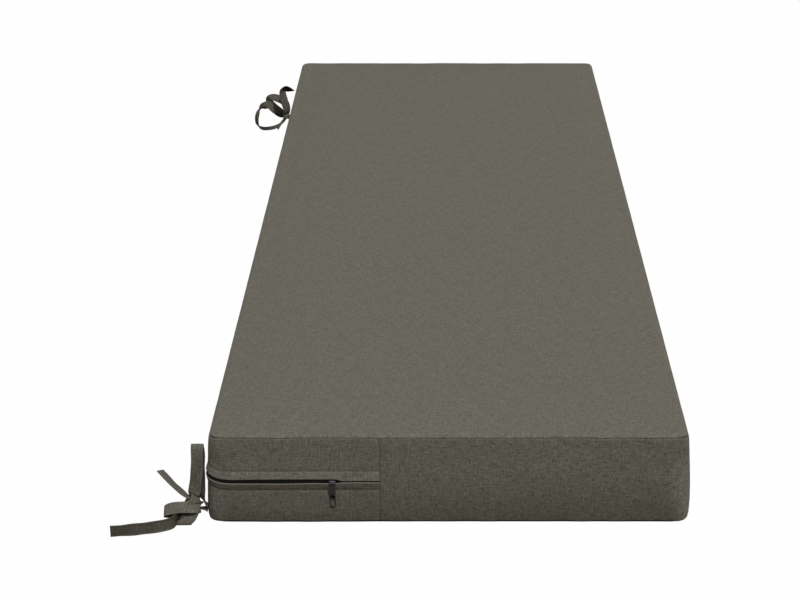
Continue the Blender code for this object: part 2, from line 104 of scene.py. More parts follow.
# Each tape's route: mm outwards from the seam line, along from the root and up from the
# ground, then the direction across the tape in the same axes. Up to three more may follow: the
# share of the full width, 1 where the direction may slant to the route, as at a fold, and how
# far both faces are shaded. ROUTE_REST stands for those that are left out
ROUTE_REST = (1.0, 0.0, 0.0)
FRONT_TAPE_A = (
    (5.6, 1.5, 10.9, 0, 1, -0.1),
    (7.2, 1.5, 12.2, 0.05, 0.97, -0.25),
    (9.6, 1.5, 16, 0.25, 0.92, -0.25),
    (12, 2, 22.5, 0.65, 0.75, -0.15),
    (13.6, 3, 31, 0.95, 0.3, 0),
    (14, 4, 43, 1, 0.05, 0),
    (13.6, 5, 58, 1, 0, 0),
    (13.3, 5.5, 71, 1, 0, 0),
    (13.5, 3.8, 79.5, 1, 0, 0),
    (13.6, 0, 83.3, 1, 0, 0),
    (13.6, -3.8, 80, 1, 0, 0),
    (13.7, -5.5, 71.5, 0.98, -0.1, 0),
    (14.2, -6.5, 60, 0.96, -0.2, 0),
    (15.3, -7, 49.5, 0.98, -0.1, 0.03),
    (16.7, -7.5, 39.5, 1, 0, 0.08),
    (18, -8.5, 31.8, 1, 0, 0.12),
    (18.4, -8.7, 30.3, 1, 0.06, 0.13, 0.97),
    (18.8, -8.9, 29, 0.98, 0.15, 0.15, 0.9, 0, 1),
    (19.2, -9, 27.7, 0.94, 0.25, 0.18, 0.84, 0, 0.2),
    (20, -9, 26.2, 0.88, 0.32, 0.2, 0.8),
    (22.6, -9.5, 25.2, 0.5, 0.8, 0.05, 0.7),
    (30, -10.5, 32, 0, 0.95, -0.08, 0.95),
    (37.5, -11.5, 40, -0.02, 0.96, -0.06),
    (44.9, -12.5, 49.8, -0.05, 0.97, -0.02),
    (51.9, -13.5, 59.6, -0.08, 0.97, 0.03),
)
FRONT_TAPE_B = (
    (5.1, -1.5, 8.2, 0, 1, 0, 1, 0, 0.67),
    (8, -1.7, 8.6, 0, 0.99, -0.15, 1, 0, 0.67),
    (13, -3.6, 10.4, 0, 0.93, -0.37, 1, 0, 0.67),
    (17.4, -4.8, 13.6, 0, 0.93, -0.3, 0.95, 0, 0.67),
    (21, -6.4, 17.6, 0, 0.94, 0.1, 0.85, 0, 0.67),
    (23.6, -8.4, 17.6, 0, 0.86, 0.45, 0.85, 0, 0.67),
    (31, -7, 11, 0, 0.8, 0.6, 1, 0, 0.74),
    (41, -6, 7.2, 0, 0.75, 0.66, 1, 0, 0.74),
    (48, -7.5, 7.6, 0, 0.72, 0.69, 1, 0, 0.44),
    (50.3, -11, 10, 0, 0.7, 0.71, 1, 0, 0.22),
    (47, -14.8, 13.8, 0, 0.68, 0.73),
    (39.5, -17, 17, 0, 0.66, 0.75),
    (29.5, -18.5, 18.8, 0, 0.66, 0.75),
    (21, -17.5, 18.5, 0, 0.66, 0.75),
    (15, -14.5, 16.8, 0, 0.66, 0.75),
    (12.2, -11, 15.6, 0, 0.66, 0.75, 1, 0, 0.22),
    (14, -8.6, 17, 0.2, 0.66, 0.7, 0.9, 0, 0.44),
    (17.6, -8.6, 20.4, 0.8, 0.35, 0.45, 0.8, 0, 0.22),
    (18.4, -11.8, 20.2, 0.95, 0.15, 0.25, 0.85, 0.1, 0.15),
    (18.6, -14.4, 16.4, 0.92, 0.25, 0.28, 1.05, 0.3, 0.22),
    (20.4, -16.8, 12.2, 0.9, 0.3, 0.3, 1.15, 0.5, 0.22),
    (23, -19.6, 8.4, 0.92, 0.25, 0.25, 1.2, 0.7, 0.22),
    (25.8, -22.6, 5.2, 0.97, 0.1, 0.1, 1.24, 0.9, 0.3),
    (27.8, -24.9, 3.2, 1, 0, 0, 1.28, 1, 0.37),
    (28.6, -25.6, 2.3, 1, 0, 0, 1.29, 1, 0.59),
    (29.2, -25.1, 1.5, 1, 0, 0, 1.27, 1, 0.74),
    (30.8, -23, 1.6, 0.92, -0.38, 0.05, 1.14, 0.7, 0.95),
    (32.8, -20.6, 2.9, 0.66, -0.55, 0.5, 1, 0.2, 0.95),
    (34.4, -18.6, 5.4, 0.25, -0.3, 0.92, 1, 0, 0.95),
    (35.8, -19.4, 6.6, 0, 0, 1, 1, 0, 0.95),
    (37, -23.6, 6.8, 0, 0.1, 0.99, 1, 0, 0.95),
    (39.6, -29.6, 6.8, 0, 0.22, 0.97, 1, 0, 0.67),
    (44, -34, 6.8, 0, 0.27, 0.96, 1, 0, 0.55),
    (51.5, -37.9, 6.8, 0, 0.27, 0.96, 1, 0, 0.52),
    (66, -42.6, 6.8, 0, 0.18, 0.98, 1, 0, 0.55),
    (84, -46.6, 6.8, 0, 0.06, 1, 1, 0, 0.55),
    (101.8, -49.6, 6.8, 0, -0.05, 1, 1, 0, 0.52),
)
BACK_TAPE_A = (
    (5.1, -4, 8.3, 0, 1, 0),
    (8.9, -4.4, 9.3, 0, 1, 0),
    (17, -10, 18, 0, 1, 0, 0.95),
    (23.4, -14.6, 24.6, 0, 1, 0, 0.75),
    (26.4, -15, 22, 0, 1, 0, 0.85),
    (31.2, -14.5, 16.3, 0, 1, 0),
    (43.6, -14, 7.6, 0, 1, 0.12, 1, 0, 0.5),
    (57, -14, 4.4, 0, 1, 0.14, 1, 0, 1),
    (67.5, -14.5, 4.9, 0.15, 1, 0.16, 1, 0, 1),
    (74.5, -15, 10.6, 0.46, 0.86, 0.1, 1, 0, 1),
    (75.8, -16, 21.3, 0.5, 0.8, -0.2, 1, 0, 0.75),
    (73.3, -16, 32.4, 0.5, 0.62, -0.52, 1, 0, 0.25),
    (67.2, -17, 41.7, 0.46, 0.36, -0.78),
    (59.5, -18, 47, 0.38, 0.05, -0.92),
    (52, -18.5, 46.5, 0.36, -0.25, -0.88),
    (45.5, -19, 40.6, 0.46, -0.38, -0.8),
    (38, -18.6, 34.2, 0.54, 0, -0.8, 1, 0, 0.9),
    (31.5, -17.8, 28.8, 0.55, 0.5, -0.66, 0.9, 0, 1),
    (25.6, -16.6, 27.2, 0.4, 0.9, -0.3, 0.75, 0, 1),
    (27.5, -17, 23.5, 0.15, 1, 0, 0.85, 0, 0.8),
    (33, -18, 16.5, 0.1, 1, 0, 1, 0, 0.2),
    (40.5, -20, 5.4, 0.1, 1, 0),
)
BACK_TAPE_B = (
    (25.5, -14.5, 30, -0.6, 0.6, 0.3, 0.8),
    (24.5, -11.5, 38.5, -0.6, 0.5, 0.5),
    (26, -9.5, 47, -0.6, 0.4, 0.65),
    (31.5, -9, 53, -0.5, 0.35, 0.78),
    (38.8, -10, 56.6, -0.35, 0.3, 0.88),
    (45.2, -11, 58.8, -0.1, 0.3, 0.94, 0.95),
    (50.6, -12.6, 58.8, 0.45, 0.35, 0.8, 0.9, 0.3, 0.2),
    (53.4, -13.8, 57, 0.9, 0.25, 0.25, 0.9, 0.3, 1),
    (53.2, -15, 53.6, 0.9, 0.2, -0.3, 0.9, 0.2, 1),
    (51, -16, 49.6, 0.7, 0.2, -0.65, 0.95, 0, 1),
    (47, -17.4, 46, 0.56, 0.12, -0.82, 1, 0, 1),
    (41.9, -20.6, 42.2, 0.54, 0.1, -0.84, 1, 0, 1),
    (34.9, -20.5, 36.1, 0.54, 0.1, -0.84, 1, 0, 1),
    (28.6, -17.4, 30.4, 0.5, 0.3, -0.75, 0.9, 0, 1),
    (25.4, -16.6, 29, 0.6, 0.2, -0.6, 0.8, 0, 1),
    (23.6, -19, 33.6, 0.8, -0.5, -0.25, 0.92, 0, 0.4),
    (23.6, -20.5, 41, 0.84, -0.48, -0.24),
    (27, -21, 54.5, 0.86, -0.45, -0.22),
    (29.8, -20, 68, 0.84, -0.5, -0.15),
    (28.8, -19, 74, 0.6, -0.6, 0.3),
    (22.6, -18, 75.9, 0.2, -0.5, 0.83, 1, 0, 0.9),
    (13.6, -17.5, 75.2, 0.05, -0.75, 0.66, 0.85, 0, 1),
)


# ------------------------------------------------------------------------ small helpers

def select_only(*pieces):
    """Selects these pieces and makes the first one active."""
    bpy.ops.object.select_all(action="DESELECT")
    for piece in pieces:
        piece.select_set(True)
        bpy.context.view_layer.objects.active = pieces[0]


def link(item):
    bpy.context.scene.collection.objects.link(item)
    return item


def hand_over(piece, node=None):
    """Tells the frame what a finished piece rides on, which node it replaces."""
    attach(piece, "root")
    if node:
        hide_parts(node)


class Wires:
    """Short calls that add and join the nodes of one tree."""

    def __init__(self, tree):
        self.tree = tree

    def put(self, socket, value):
        """Joins another node's output to a socket, or sets the socket's value."""
        if isinstance(value, bpy.types.NodeSocket):
            self.tree.links.new(value, socket)
        else:
            socket.default_value = value

    def node(self, kind, **inputs):
        """A new node; an input's name is written with _ for a space."""
        node = self.tree.nodes.new("ShaderNode" + kind)
        for label, value in inputs.items():
            self.put(node.inputs[label.replace("_", " ")], value)
        return node

    def math(self, operation, *values):
        node = self.node("Math")
        node.operation = operation
        for socket, value in zip(node.inputs, values):
            self.put(socket, value)
        return node.outputs[0]

    def noise(self, vector, scale, place=(0.0, 0.0, 0.0), detail=2.0, roughness=0.5):
        """Noise on a vector that is stretched by a scale for each axis."""
        stretched = self.node("Mapping", Vector=vector, Scale=scale, Location=place)
        noise = self.node("TexNoise", Vector=stretched.outputs[0], Scale=1.0, Detail=detail,
                          Roughness=roughness)
        return noise.outputs["Fac"]

    def range(self, value, low, high, to_low=0.0, to_high=1.0):
        node = self.node("MapRange", Value=value, From_Min=low, From_Max=high, To_Min=to_low,
                         To_Max=to_high)
        return node.outputs["Result"]

    def blend(self, share, first, second, kind="MIX"):
        node = self.node("Mix")
        node.data_type = "RGBA"
        node.blend_type = kind
        for label, value in (("Factor", share), ("A", first), ("B", second)):
            self.put(node.inputs[label], value)
        return next(socket for socket in node.outputs if socket.type == "RGBA")

    def split(self, vector):
        return self.node("SeparateXYZ", Vector=vector).outputs

    def mask(self, name):
        node = self.node("Attribute")
        node.attribute_name = name
        return node.outputs["Fac"]

    def plan(self):
        """The piece's own flat plan in metres."""
        node = self.node("UVMap")
        node.uv_map = "plan"
        return node.outputs[0]

    def group(self, group, **values):
        node = self.node("Group")
        node.node_tree = group
        for label, value in values.items():
            self.put(node.inputs[label], value)
        return node.outputs

    def bump(self, shader, height, distance):
        node = self.node("Bump", Strength=1.0, Distance=distance, Height=height)
        self.put(shader.inputs["Normal"], node.outputs[0])


# ------------------------------------------------------------------------ camera and stage

LENS = 90.29
LENS_SHIFT = -0.0555
CAMERA_PLACE = (-0.0045, -2.6351, 0.9974)
CAMERA_DOWN = 21.58      # degrees below the level
WHITE = (1.0, 1.0, 1.0, 1.0)
FLOOR_RADIUS = 14.0
FLOOR_Z = -0.0004
FLOOR_COLOUR = (0.12, 0.113, 0.095, 1.0)
FLOOR_GLOW = 0.93        # share of the floor that the camera sees as plain white
GLOW_STRENGTH = 1.06
SKY_COLOUR = (1.0, 0.99, 0.98, 1.0)
SKY_STRENGTH = 0.20
LIGHT_COLOUR = (1.0, 0.995, 0.985)
SOFTBOX = {"shape": "RECTANGLE", "size": 2.4, "size_y": 1.6}
LIGHTS = (
    # name, kind, place, aimed at, energy, other settings
    ("key", "SUN", (0.143, -0.447, 0.883), (0.0, 0.0, 0.0), 2.62, {"angle": math.radians(16.0)}),
    ("softbox_right", "AREA", (6.75, -1.20, 1.55), (0.0, 0.0, 0.05), 150.0, SOFTBOX),
    ("softbox_left", "AREA", (-6.75, -1.20, 1.55), (0.0, 0.0, 0.05), 110.0, SOFTBOX),
)


def make_camera():
    data = bpy.data.cameras.new("camera")
    data.lens = LENS
    data.sensor_width = 36.0
    data.shift_x = LENS_SHIFT
    camera = link(bpy.data.objects.new("camera", data))
    camera.location = CAMERA_PLACE
    camera.rotation_euler = (math.radians(90.0 - CAMERA_DOWN), 0.0, 0.0)
    bpy.context.scene.camera = camera


def empty_tree(owner):
    owner.use_nodes = True
    owner.node_tree.nodes.clear()
    return Wires(owner.node_tree)


def show_to_camera(wires, output, share, plain, seen):
    """Shows the camera a second shader, by a share, and leaves the light to the plain one."""
    ray = wires.node("LightPath").outputs["Is Camera Ray"]
    mix = wires.node("MixShader")
    shown = wires.math("MULTIPLY", ray, share)
    for socket, value in zip(mix.inputs, (shown, plain.outputs[0], seen.outputs[0])):
        wires.put(socket, value)
    wires.node(output, Surface=mix.outputs[0])


def make_floor():
    """A wide pale floor that stays white to the camera, with only a breath of contact shadow."""
    select_only()
    bpy.ops.mesh.primitive_circle_add(vertices=96, radius=FLOOR_RADIUS, fill_type="NGON",
                                      location=(0, 0, FLOOR_Z))
    floor = bpy.context.object
    floor.name = "floor"
    material = bpy.data.materials.new("pale_floor")
    wires = empty_tree(material)
    lit = wires.node("BsdfDiffuse", Color=FLOOR_COLOUR)
    glow = wires.node("Emission", Color=WHITE, Strength=GLOW_STRENGTH)
    show_to_camera(wires, "OutputMaterial", FLOOR_GLOW, lit, glow)
    floor.data.materials.append(material)


def make_lights():
    world = bpy.data.worlds.new("studio")
    bpy.context.scene.world = world
    wires = empty_tree(world)
    sky = wires.node("Background", Color=SKY_COLOUR, Strength=SKY_STRENGTH)
    seen = wires.node("Background", Color=WHITE, Strength=1.0)
    show_to_camera(wires, "OutputWorld", 1.0, sky, seen)
    for name, kind, place, aim, energy, settings in LIGHTS:
        data = bpy.data.lights.new(name, kind)
        data.energy = energy
        data.color = LIGHT_COLOUR
        for label, value in settings.items():
            setattr(data, label, value)
        light = link(bpy.data.objects.new(name, data))
        light.location = place
        light.rotation_euler = (Vector(aim) - Vector(place)).to_track_quat("-Z", "Y").to_euler()
    view = bpy.context.scene.view_settings
    view.view_transform = "Standard"
    view.look = "None"


# --------------------------------------------------------------------- shader groups, materials

# The cloth's noises: scales and place on the plan, detail, roughness and weight in its tone
WARP, WEFT, WARP_SLUB, WEFT_SLUB, FLECK, MOTTLE = (
    ((980.0, 190.0, 1.0), (0.0, 0.0, 0.0), 1.0, 0.5, 0.9),
    ((170.0, 900.0, 1.0), (3.7, 1.9, 0.0), 1.0, 0.5, 0.9),
    ((520.0, 70.0, 1.0), (11.0, 5.0, 0.0), 2.0, 0.6, 0.75),
    ((95.0, 480.0, 1.0), (7.0, 23.0, 0.0), 2.0, 0.6, 0.85),
    ((560.0, 610.0, 1.0), (2.0, 31.0, 0.0), 2.0, 0.7, 1.3),
    ((46.0, 46.0, 1.0), (1.0, 9.0, 0.0), 3.0, 0.6, 0.25),
)
PICK_MEAN, PICK_TONE = 0.4, 0.18     # the crossing threads' mean level, and their weight
SLUB_RISE = 0.9          # how far the slubs stand out against the threads' own height
THREAD = 0.0008          # between the cloth's threads
WEAVE_RISE = 0.00018
PATCH_LOW, PATCH_HIGH, LEAST_RUBBED = 0.3, 0.65, 0.35
# the colour of the painted shadow band on the pull
SHADOW_BLACK = (0.022, 0.022, 0.022, 1.0)
BAND_EDGE = 0.0003       # half the soft edge of the painted shadow band on the pull


def new_group(name, inputs, outputs):
    """A shader node group: itself, its wires, its inputs and its results."""
    group = bpy.data.node_groups.new(name, "ShaderNodeTree")
    for label, kind, *value in inputs:
        socket = group.interface.new_socket(name=label, in_out="INPUT",
                                            socket_type="NodeSocket" + kind)
        if value:
            socket.default_value = value[0]
    for label, kind in outputs:
        group.interface.new_socket(name=label, in_out="OUTPUT", socket_type="NodeSocket" + kind)
    source = group.nodes.new("NodeGroupInput")
    result = group.nodes.new("NodeGroupOutput")
    return group, Wires(group), source.outputs, result.inputs


def make_linen_group():
    """Heathered linen-look weave on a plan in metres: threads, slubs and a soft mottle."""
    group, wires, given, result = new_group(
        "linen weave",
        (("Plan", "Vector"), ("Cloth", "Color", (0.14, 0.13, 0.11, 1.0)),
         ("Heather", "Float", 1.0), ("Thread", "Float", THREAD)),
        (("Color", "Color"), ("Height", "Float")))
    turn = wires.math("DIVIDE", math.pi, given["Thread"])
    u, v, _ = wires.split(given["Plan"])
    across, along = (wires.math("SINE", wires.math("MULTIPLY", axis, turn)) for axis in (u, v))
    picks = wires.math("ABSOLUTE", wires.math("MULTIPLY", across, along))
    tone = 0.0
    rise = picks
    for layer in (WARP, WEFT, WARP_SLUB, WEFT_SLUB, FLECK, MOTTLE):
        *look, weight = layer
        from_mean = wires.math("SUBTRACT", wires.noise(given["Plan"], *look), 0.5)
        tone = wires.math("MULTIPLY_ADD", from_mean, weight, tone)
        if layer in (WARP_SLUB, WEFT_SLUB):
            rise = wires.math("MULTIPLY_ADD", from_mean, SLUB_RISE, rise)
    tone = wires.math("MULTIPLY", tone, given["Heather"])
    from_mean = wires.math("SUBTRACT", picks, PICK_MEAN)
    bright = wires.math("ADD", wires.math("MULTIPLY_ADD", from_mean, PICK_TONE, tone), 1.0)
    level = wires.node("CombineColor", Red=bright, Green=bright, Blue=bright).outputs[0]
    wires.put(result["Color"], wires.blend(1.0, given["Cloth"], level, "MULTIPLY"))
    wires.put(result["Height"], rise)
    return group


def make_wear_group():
    """Lightens a colour where the piece's worn mask is high, broken up so that it isn't a line."""
    group, wires, given, result = new_group(
        "rubbed edge",
        (("Plan", "Vector"), ("Color", "Color", (0.1, 0.1, 0.1, 1.0)), ("Mask", "Float", 0.0),
         ("Rubbed", "Color", (0.2, 0.2, 0.18, 1.0)), ("Size", "Float", 300.0)),
        (("Color", "Color"), ("Mask", "Float")))
    patches = wires.noise(given["Plan"], given["Size"], detail=3.0, roughness=0.6)
    broken = wires.range(patches, PATCH_LOW, PATCH_HIGH, LEAST_RUBBED, 1.0)
    share = wires.math("MULTIPLY", given["Mask"], broken)
    wires.put(result["Color"], wires.blend(share, given["Color"], given["Rubbed"]))
    wires.put(result["Mask"], share)
    return group


def new_material(name, colour, roughness, metallic=0.0, sheen=0.0, specular=0.5):
    """A material with a Principled shader, and the wires of its tree."""
    material = bpy.data.materials.new(name)
    material.use_nodes = True
    shader = material.node_tree.nodes["Principled BSDF"]
    for label, value in (("Base Color", (*colour, 1.0)), ("Roughness", roughness),
                         ("Metallic", metallic), ("Sheen Weight", sheen),
                         ("Sheen Roughness", 0.5), ("Specular IOR Level", specular)):
        shader.inputs[label].default_value = value
    return material, Wires(material.node_tree), shader


def cloth_material(name, colour, heather, shaded, rubbed=None):
    """The cover's cloth. The worn mask lightens it, and the shaded mask darkens it."""
    material, wires, shader = new_material(name, colour, 0.93, sheen=0.03, specular=0.2)
    plan = wires.plan()
    weave = wires.group(LINEN, Plan=plan, Cloth=(*colour, 1.0), Heather=heather)
    shown = weave["Color"]
    if rubbed:
        wear = wires.group(WEAR, Plan=plan, Color=shown, Mask=wires.mask("worn"),
                           Rubbed=(*rubbed, 1.0))
        shown = wear["Color"]
    shown = wires.blend(wires.mask("shaded"), shown, (*shaded, 1.0), "MULTIPLY")
    wires.put(shader.inputs["Base Color"], shown)
    wires.bump(shader, weave["Height"], WEAVE_RISE)
    return material


def thread_material(name, colour, ply, distance, roughness=0.8):
    """Twisted sewing thread or a ribbed tape: fine ridges along the plan."""
    material, wires, shader = new_material(name, colour, roughness)
    plan = wires.plan()
    u, v, _ = wires.split(plan)
    slanting = wires.math("MULTIPLY_ADD", v, 0.7, u)
    twist = wires.math("SINE", wires.math("MULTIPLY", slanting, ply))
    level = wires.math("MULTIPLY_ADD", twist, 0.12, wires.noise(plan, (900.0, 900.0, 1.0)))
    dark, light = ((*(factor * part for part in colour), 1.0) for factor in (0.6, 1.3))
    wires.put(shader.inputs["Base Color"], wires.blend(wires.range(level, 0.2, 0.8), dark, light))
    wires.bump(shader, twist, distance)
    return material


def metal_material(name, colour, rubbed, roughness, shadow_band=None):
    """Gunmetal, rubbed bright at its edges, with fine handling marks; a band may carry painted
    shadow.
    """
    material, wires, shader = new_material(name, colour, roughness, metallic=0.85)
    coords = wires.node("TexCoord").outputs["Object"]
    wear = wires.group(WEAR, Plan=coords, Color=(*colour, 1.0), Mask=wires.mask("worn"),
                       Rubbed=(*rubbed, 1.0), Size=900.0)
    shown = wear["Color"]
    # a painted shadow band between two heights
    if shadow_band:
        low, high = shadow_band
        height = wires.split(coords)[2]
        above = wires.range(height, low - BAND_EDGE, low + BAND_EDGE)
        below = wires.range(height, high + BAND_EDGE, high - BAND_EDGE)
        shown = wires.blend(wires.math("MULTIPLY", above, below), shown, SHADOW_BLACK)
    wires.put(shader.inputs["Base Color"], shown)
    marks = wires.noise(coords, (2400.0, 700.0, 2400.0), detail=3.0)
    wires.put(shader.inputs["Roughness"],
              wires.range(marks, 0.3, 0.7, roughness - 0.08, roughness + 0.14))
    wires.bump(shader, marks, 0.00001)
    return material


# --------------------------------------------------------------------------- the seam line

CORE_X = WIDTH / 2 - CORNER
CORE_Y = LENGTH / 2 - CORNER
ARC = math.pi / 2 * CORNER
CUT = 1 - math.pi / 4    # share of its radius that a round corner takes off each half of the way
ROUND = 4 * (CORE_X + CORE_Y + ARC)
CORNER_PULL = 0.060      # the side within this length of a corner takes up a change of its radius
CORNERS = (
    # length round to the middle of the corner, sign x, sign y
    (CORE_X + ARC / 2, 1, -1),
    (CORE_X + 1.5 * ARC + 2 * CORE_Y, 1, 1),
    (ROUND / 2 + CORE_X + ARC / 2, -1, 1),
    (ROUND / 2 + CORE_X + 1.5 * ARC + 2 * CORE_Y, -1, -1),
)
NEAR_SEAM = ROUND + CROSS_SEAM_X
FAR_SEAM = ROUND / 2 - CROSS_SEAM_X


def length_past(s, at):
    """Signed length from one place to another, the shorter way round the seam line."""
    return np.mod(s - at + ROUND / 2, ROUND) - ROUND / 2


def seam_line(s, radius=CORNER, inside=0.0):
    """Places and outward normals at lengths s round a line inside the cushion's seam line."""
    s, radius, inside = np.broadcast_arrays(np.asarray(s, float), radius, inside)
    gaps = np.stack([length_past(s, at) for at, _, _ in CORNERS])
    nearest = np.argmin(np.abs(gaps), axis=0)
    gap = np.take_along_axis(gaps, nearest[None], 0)[0]
    sign = np.array([corner[1:] for corner in CORNERS], float)[nearest]
    past = np.abs(gap)
    change = (CORNER - radius) * CUT - inside
    pulled = np.where(past < CORNER_PULL, past * (1 + change / CORNER_PULL), past + change)
    along_x = (gap > 0) == (sign[..., 0] * sign[..., 1] > 0)
    half = np.where(along_x, WIDTH / 2, LENGTH / 2)
    shrunk = past * (half - inside - CUT * radius) / (half - CUT * CORNER)
    reach = pulled + (shrunk - pulled) * np.clip(inside / INNER, 0.0, 1.0)
    arc = math.pi / 4 * radius
    turn = np.sign(gap) * np.minimum(reach, arc) / np.maximum(radius, 1e-6)
    angle = np.arctan2(sign[..., 1], sign[..., 0]) + turn
    normal = np.stack([np.cos(angle), np.sin(angle)], -1)
    way = np.stack([-np.sin(angle), np.cos(angle)], -1)
    straight = np.sign(gap) * np.maximum(reach - arc, 0.0)
    centre = sign * (np.array([WIDTH / 2, LENGTH / 2]) - (inside + radius)[..., None])
    return centre + radius[..., None] * normal + straight[..., None] * way, normal


def smooth_table(rows):
    """A smooth curve through a table of pairs, flat-ended where it levels off."""
    xs, ys = np.array(rows, float).T
    steps = np.diff(ys) / np.diff(xs)
    slopes = np.zeros(len(xs))
    slopes[0], slopes[-1] = steps[0], steps[-1]
    for i, (before, after) in enumerate(zip(steps, steps[1:]), 1):
        if before * after > 0:
            slopes[i] = 2 * before * after / (before + after)

    def value(x):
        x = np.clip(np.asarray(x, float), xs[0], xs[-1])
        i = np.clip(np.searchsorted(xs, x, side="right") - 1, 0, len(xs) - 2)
        span = xs[i + 1] - xs[i]
        t = (x - xs[i]) / span
        return ((2 * t ** 3 - 3 * t ** 2 + 1) * ys[i] + (t ** 3 - 2 * t ** 2 + t) * span * slopes[i]
                + (3 * t ** 2 - 2 * t ** 3) * ys[i + 1] + (t ** 3 - t ** 2) * span * slopes[i + 1])

    return value


SIDE_CURVE = smooth_table(SIDE_SHAPE)
END_CURVE = smooth_table(END_SHAPE)
CROWN_CURVE = smooth_table(CROWN_SHAPE)
CORNER_CURVE = smooth_table(CORNER_SHAPE)


def side_share(z):
    return (np.asarray(z) - FOOT_SEAM) / (TOP_SEAM - FOOT_SEAM)


def side_out(z):
    return SIDE_CURVE(side_share(z)) * MM


def corner_radius(z):
    return CORNER_CURVE(side_share(z)) * MM


def waves(lengths, high):
    """Sums of waves that close round the seam line: number of waves, phase and height."""
    return [(max(1, round(ROUND / length)), DRAWS.uniform(0, 2 * math.pi),
             high * DRAWS.uniform(0.6, 1.0)) for length in lengths]


def wave_sum(table, s):
    turn = 2 * math.pi * np.asarray(s) / ROUND
    return sum(high * np.sin(count * turn + phase) for count, phase, high in table)


BULGE = waves((0.42, 0.31, 0.23, 0.17, 0.12), 0.00022)
TILT = waves((0.36, 0.19, 0.11, 0.075), 0.00016)
TOP_LIFT = waves((0.21, 0.13, 0.085, 0.055), 0.00016)
TOP_PUCKER = waves((0.034, 0.027, 0.021), 0.00009)
FOOT_LIFT = waves((0.16, 0.09), 0.00012)
FOOT_PUCKER = waves((0.0345, 0.0335, 0.047), 0.00042)
LIP_RIPPLE = waves((0.11, 0.07, 0.045), 0.10)
TILT_SHARE = 1.6
SEAM_TIGHT = 93.0 / 9.0  # the pull of a seam fades within a ninth or so of the side's height
TOP_PUCKER_OUT = 2.4
FOOT_PUCKER_OUT, FOOT_PUCKER_UP = 0.5, 0.45

# Short creases pressed into the side: length round the seam line, height, reach along and up,
# depth, and rise along the crease
CREASES = (
    (0.035, 0.0665, 0.0050, 0.0011, 0.00050, 0.30),
    (0.047, 0.0690, 0.0060, 0.0010, 0.00028, 0.35),
    (0.120, 0.0675, 0.0060, 0.0011, 0.00050, 0.12),
    (0.129, 0.0690, 0.0060, 0.0010, 0.00028, 0.30),
    (0.183, 0.0665, 0.0050, 0.0010, 0.00042, 0.25),
    (0.090, 0.0300, 0.0080, 0.0012, 0.00030, 0.05),
    (0.078, 0.0320, 0.0070, 0.0012, 0.00026, 0.10),
    (0.158, 0.0240, 0.0080, 0.0014, 0.00026, -0.10),
)
# Fuller places of the side: length round the seam line, height, reach along and up, depth
SWELLS = (
    (CORNERS[0][0], 0.046, 0.050, 0.034, 0.0011),
    (ROUND - 0.165, 0.010, 0.075, 0.016, 0.0011),
)


def cover_shift(s, z):
    """How far the cover stands out and up from its plain shape at a length and a height."""
    share = np.clip(side_share(z), 0.0, 1.0)
    middle = np.sin(math.pi * share)
    from_end = np.abs(np.mod(np.asarray(s) + ROUND / 4, ROUND / 2) - ROUND / 4)
    on_end = np.clip((CORE_X + ARC - from_end) / ARC, 0.0, 1.0)
    near_top = np.exp(-((1.0 - share) * SEAM_TIGHT) ** 2)
    near_foot = np.exp(-(share * SEAM_TIGHT) ** 2)
    foot_pucker = wave_sum(FOOT_PUCKER, s) * near_foot
    out = (END_CURVE(share) - SIDE_CURVE(share)) * MM * on_end * on_end * (3 - 2 * on_end)
    out = out + (wave_sum(BULGE, s) + wave_sum(TILT, s) * (share - 0.5) * TILT_SHARE) * middle
    out = out + wave_sum(TOP_PUCKER, s) * near_top * (1 - near_top) * TOP_PUCKER_OUT
    out = out + foot_pucker * FOOT_PUCKER_OUT
    up = wave_sum(TOP_LIFT, s) * share + wave_sum(FOOT_LIFT, s) * (1 - share)
    up = up - foot_pucker * FOOT_PUCKER_UP
    for at, height, reach, thick, depth, lean in CREASES:
        ds = length_past(s, at)
        dz = (z - height - lean * ds) / thick
        out = out + depth * np.exp(-(ds / reach) ** 2) * dz * np.exp(0.5 - dz ** 2)
    for at, height, reach, tall, depth in SWELLS:
        ds = length_past(s, at)
        out = out + depth * np.exp(-(ds / reach) ** 2 - ((z - height) / tall) ** 2)
    return out, up


def wrap(s, out, z):
    """World points for lengths round the seam line, distances out from it and heights."""
    s, out, z = np.broadcast_arrays(s, out, z)
    shift_out, shift_up = cover_shift(s, z)
    place, normal = seam_line(s, corner_radius(z))
    flat = place + normal * (out + shift_out)[..., None]
    return np.concatenate([flat, (z + shift_up)[..., None]], -1)


# ------------------------------------------------------------------------------ meshes

def add_mask(mesh, label, values):
    attribute = mesh.attributes.new(label, "FLOAT", "POINT")
    attribute.data.foreach_set("value", np.asarray(values, np.float32))


def add_piece(name, points, faces, plan, material, masks=None):
    """A closed mesh object from points, faces and a flat plan in metres for each point."""
    mesh = bpy.data.meshes.new(name)
    mesh.from_pydata([tuple(point) for point in points], [], [tuple(face) for face in faces])
    layer = mesh.uv_layers.new(name="plan")
    corners = np.zeros(len(mesh.loops), np.int32)
    mesh.loops.foreach_get("vertex_index", corners)
    layer.data.foreach_set("uv", np.asarray(plan, np.float32)[corners].ravel())
    for label, values in (masks or {}).items():
        add_mask(mesh, label, values)
    mesh.materials.append(material)
    mesh.validate()
    mesh.shade_smooth()
    piece = link(bpy.data.objects.new(name, mesh))
    face_out(piece)
    return piece


def face_out(piece):
    """Turns the faces of a closed piece outwards."""
    work = bmesh.new()
    work.from_mesh(piece.data)
    bmesh.ops.recalc_face_normals(work, faces=work.faces)
    work.to_mesh(piece.data)
    work.free()


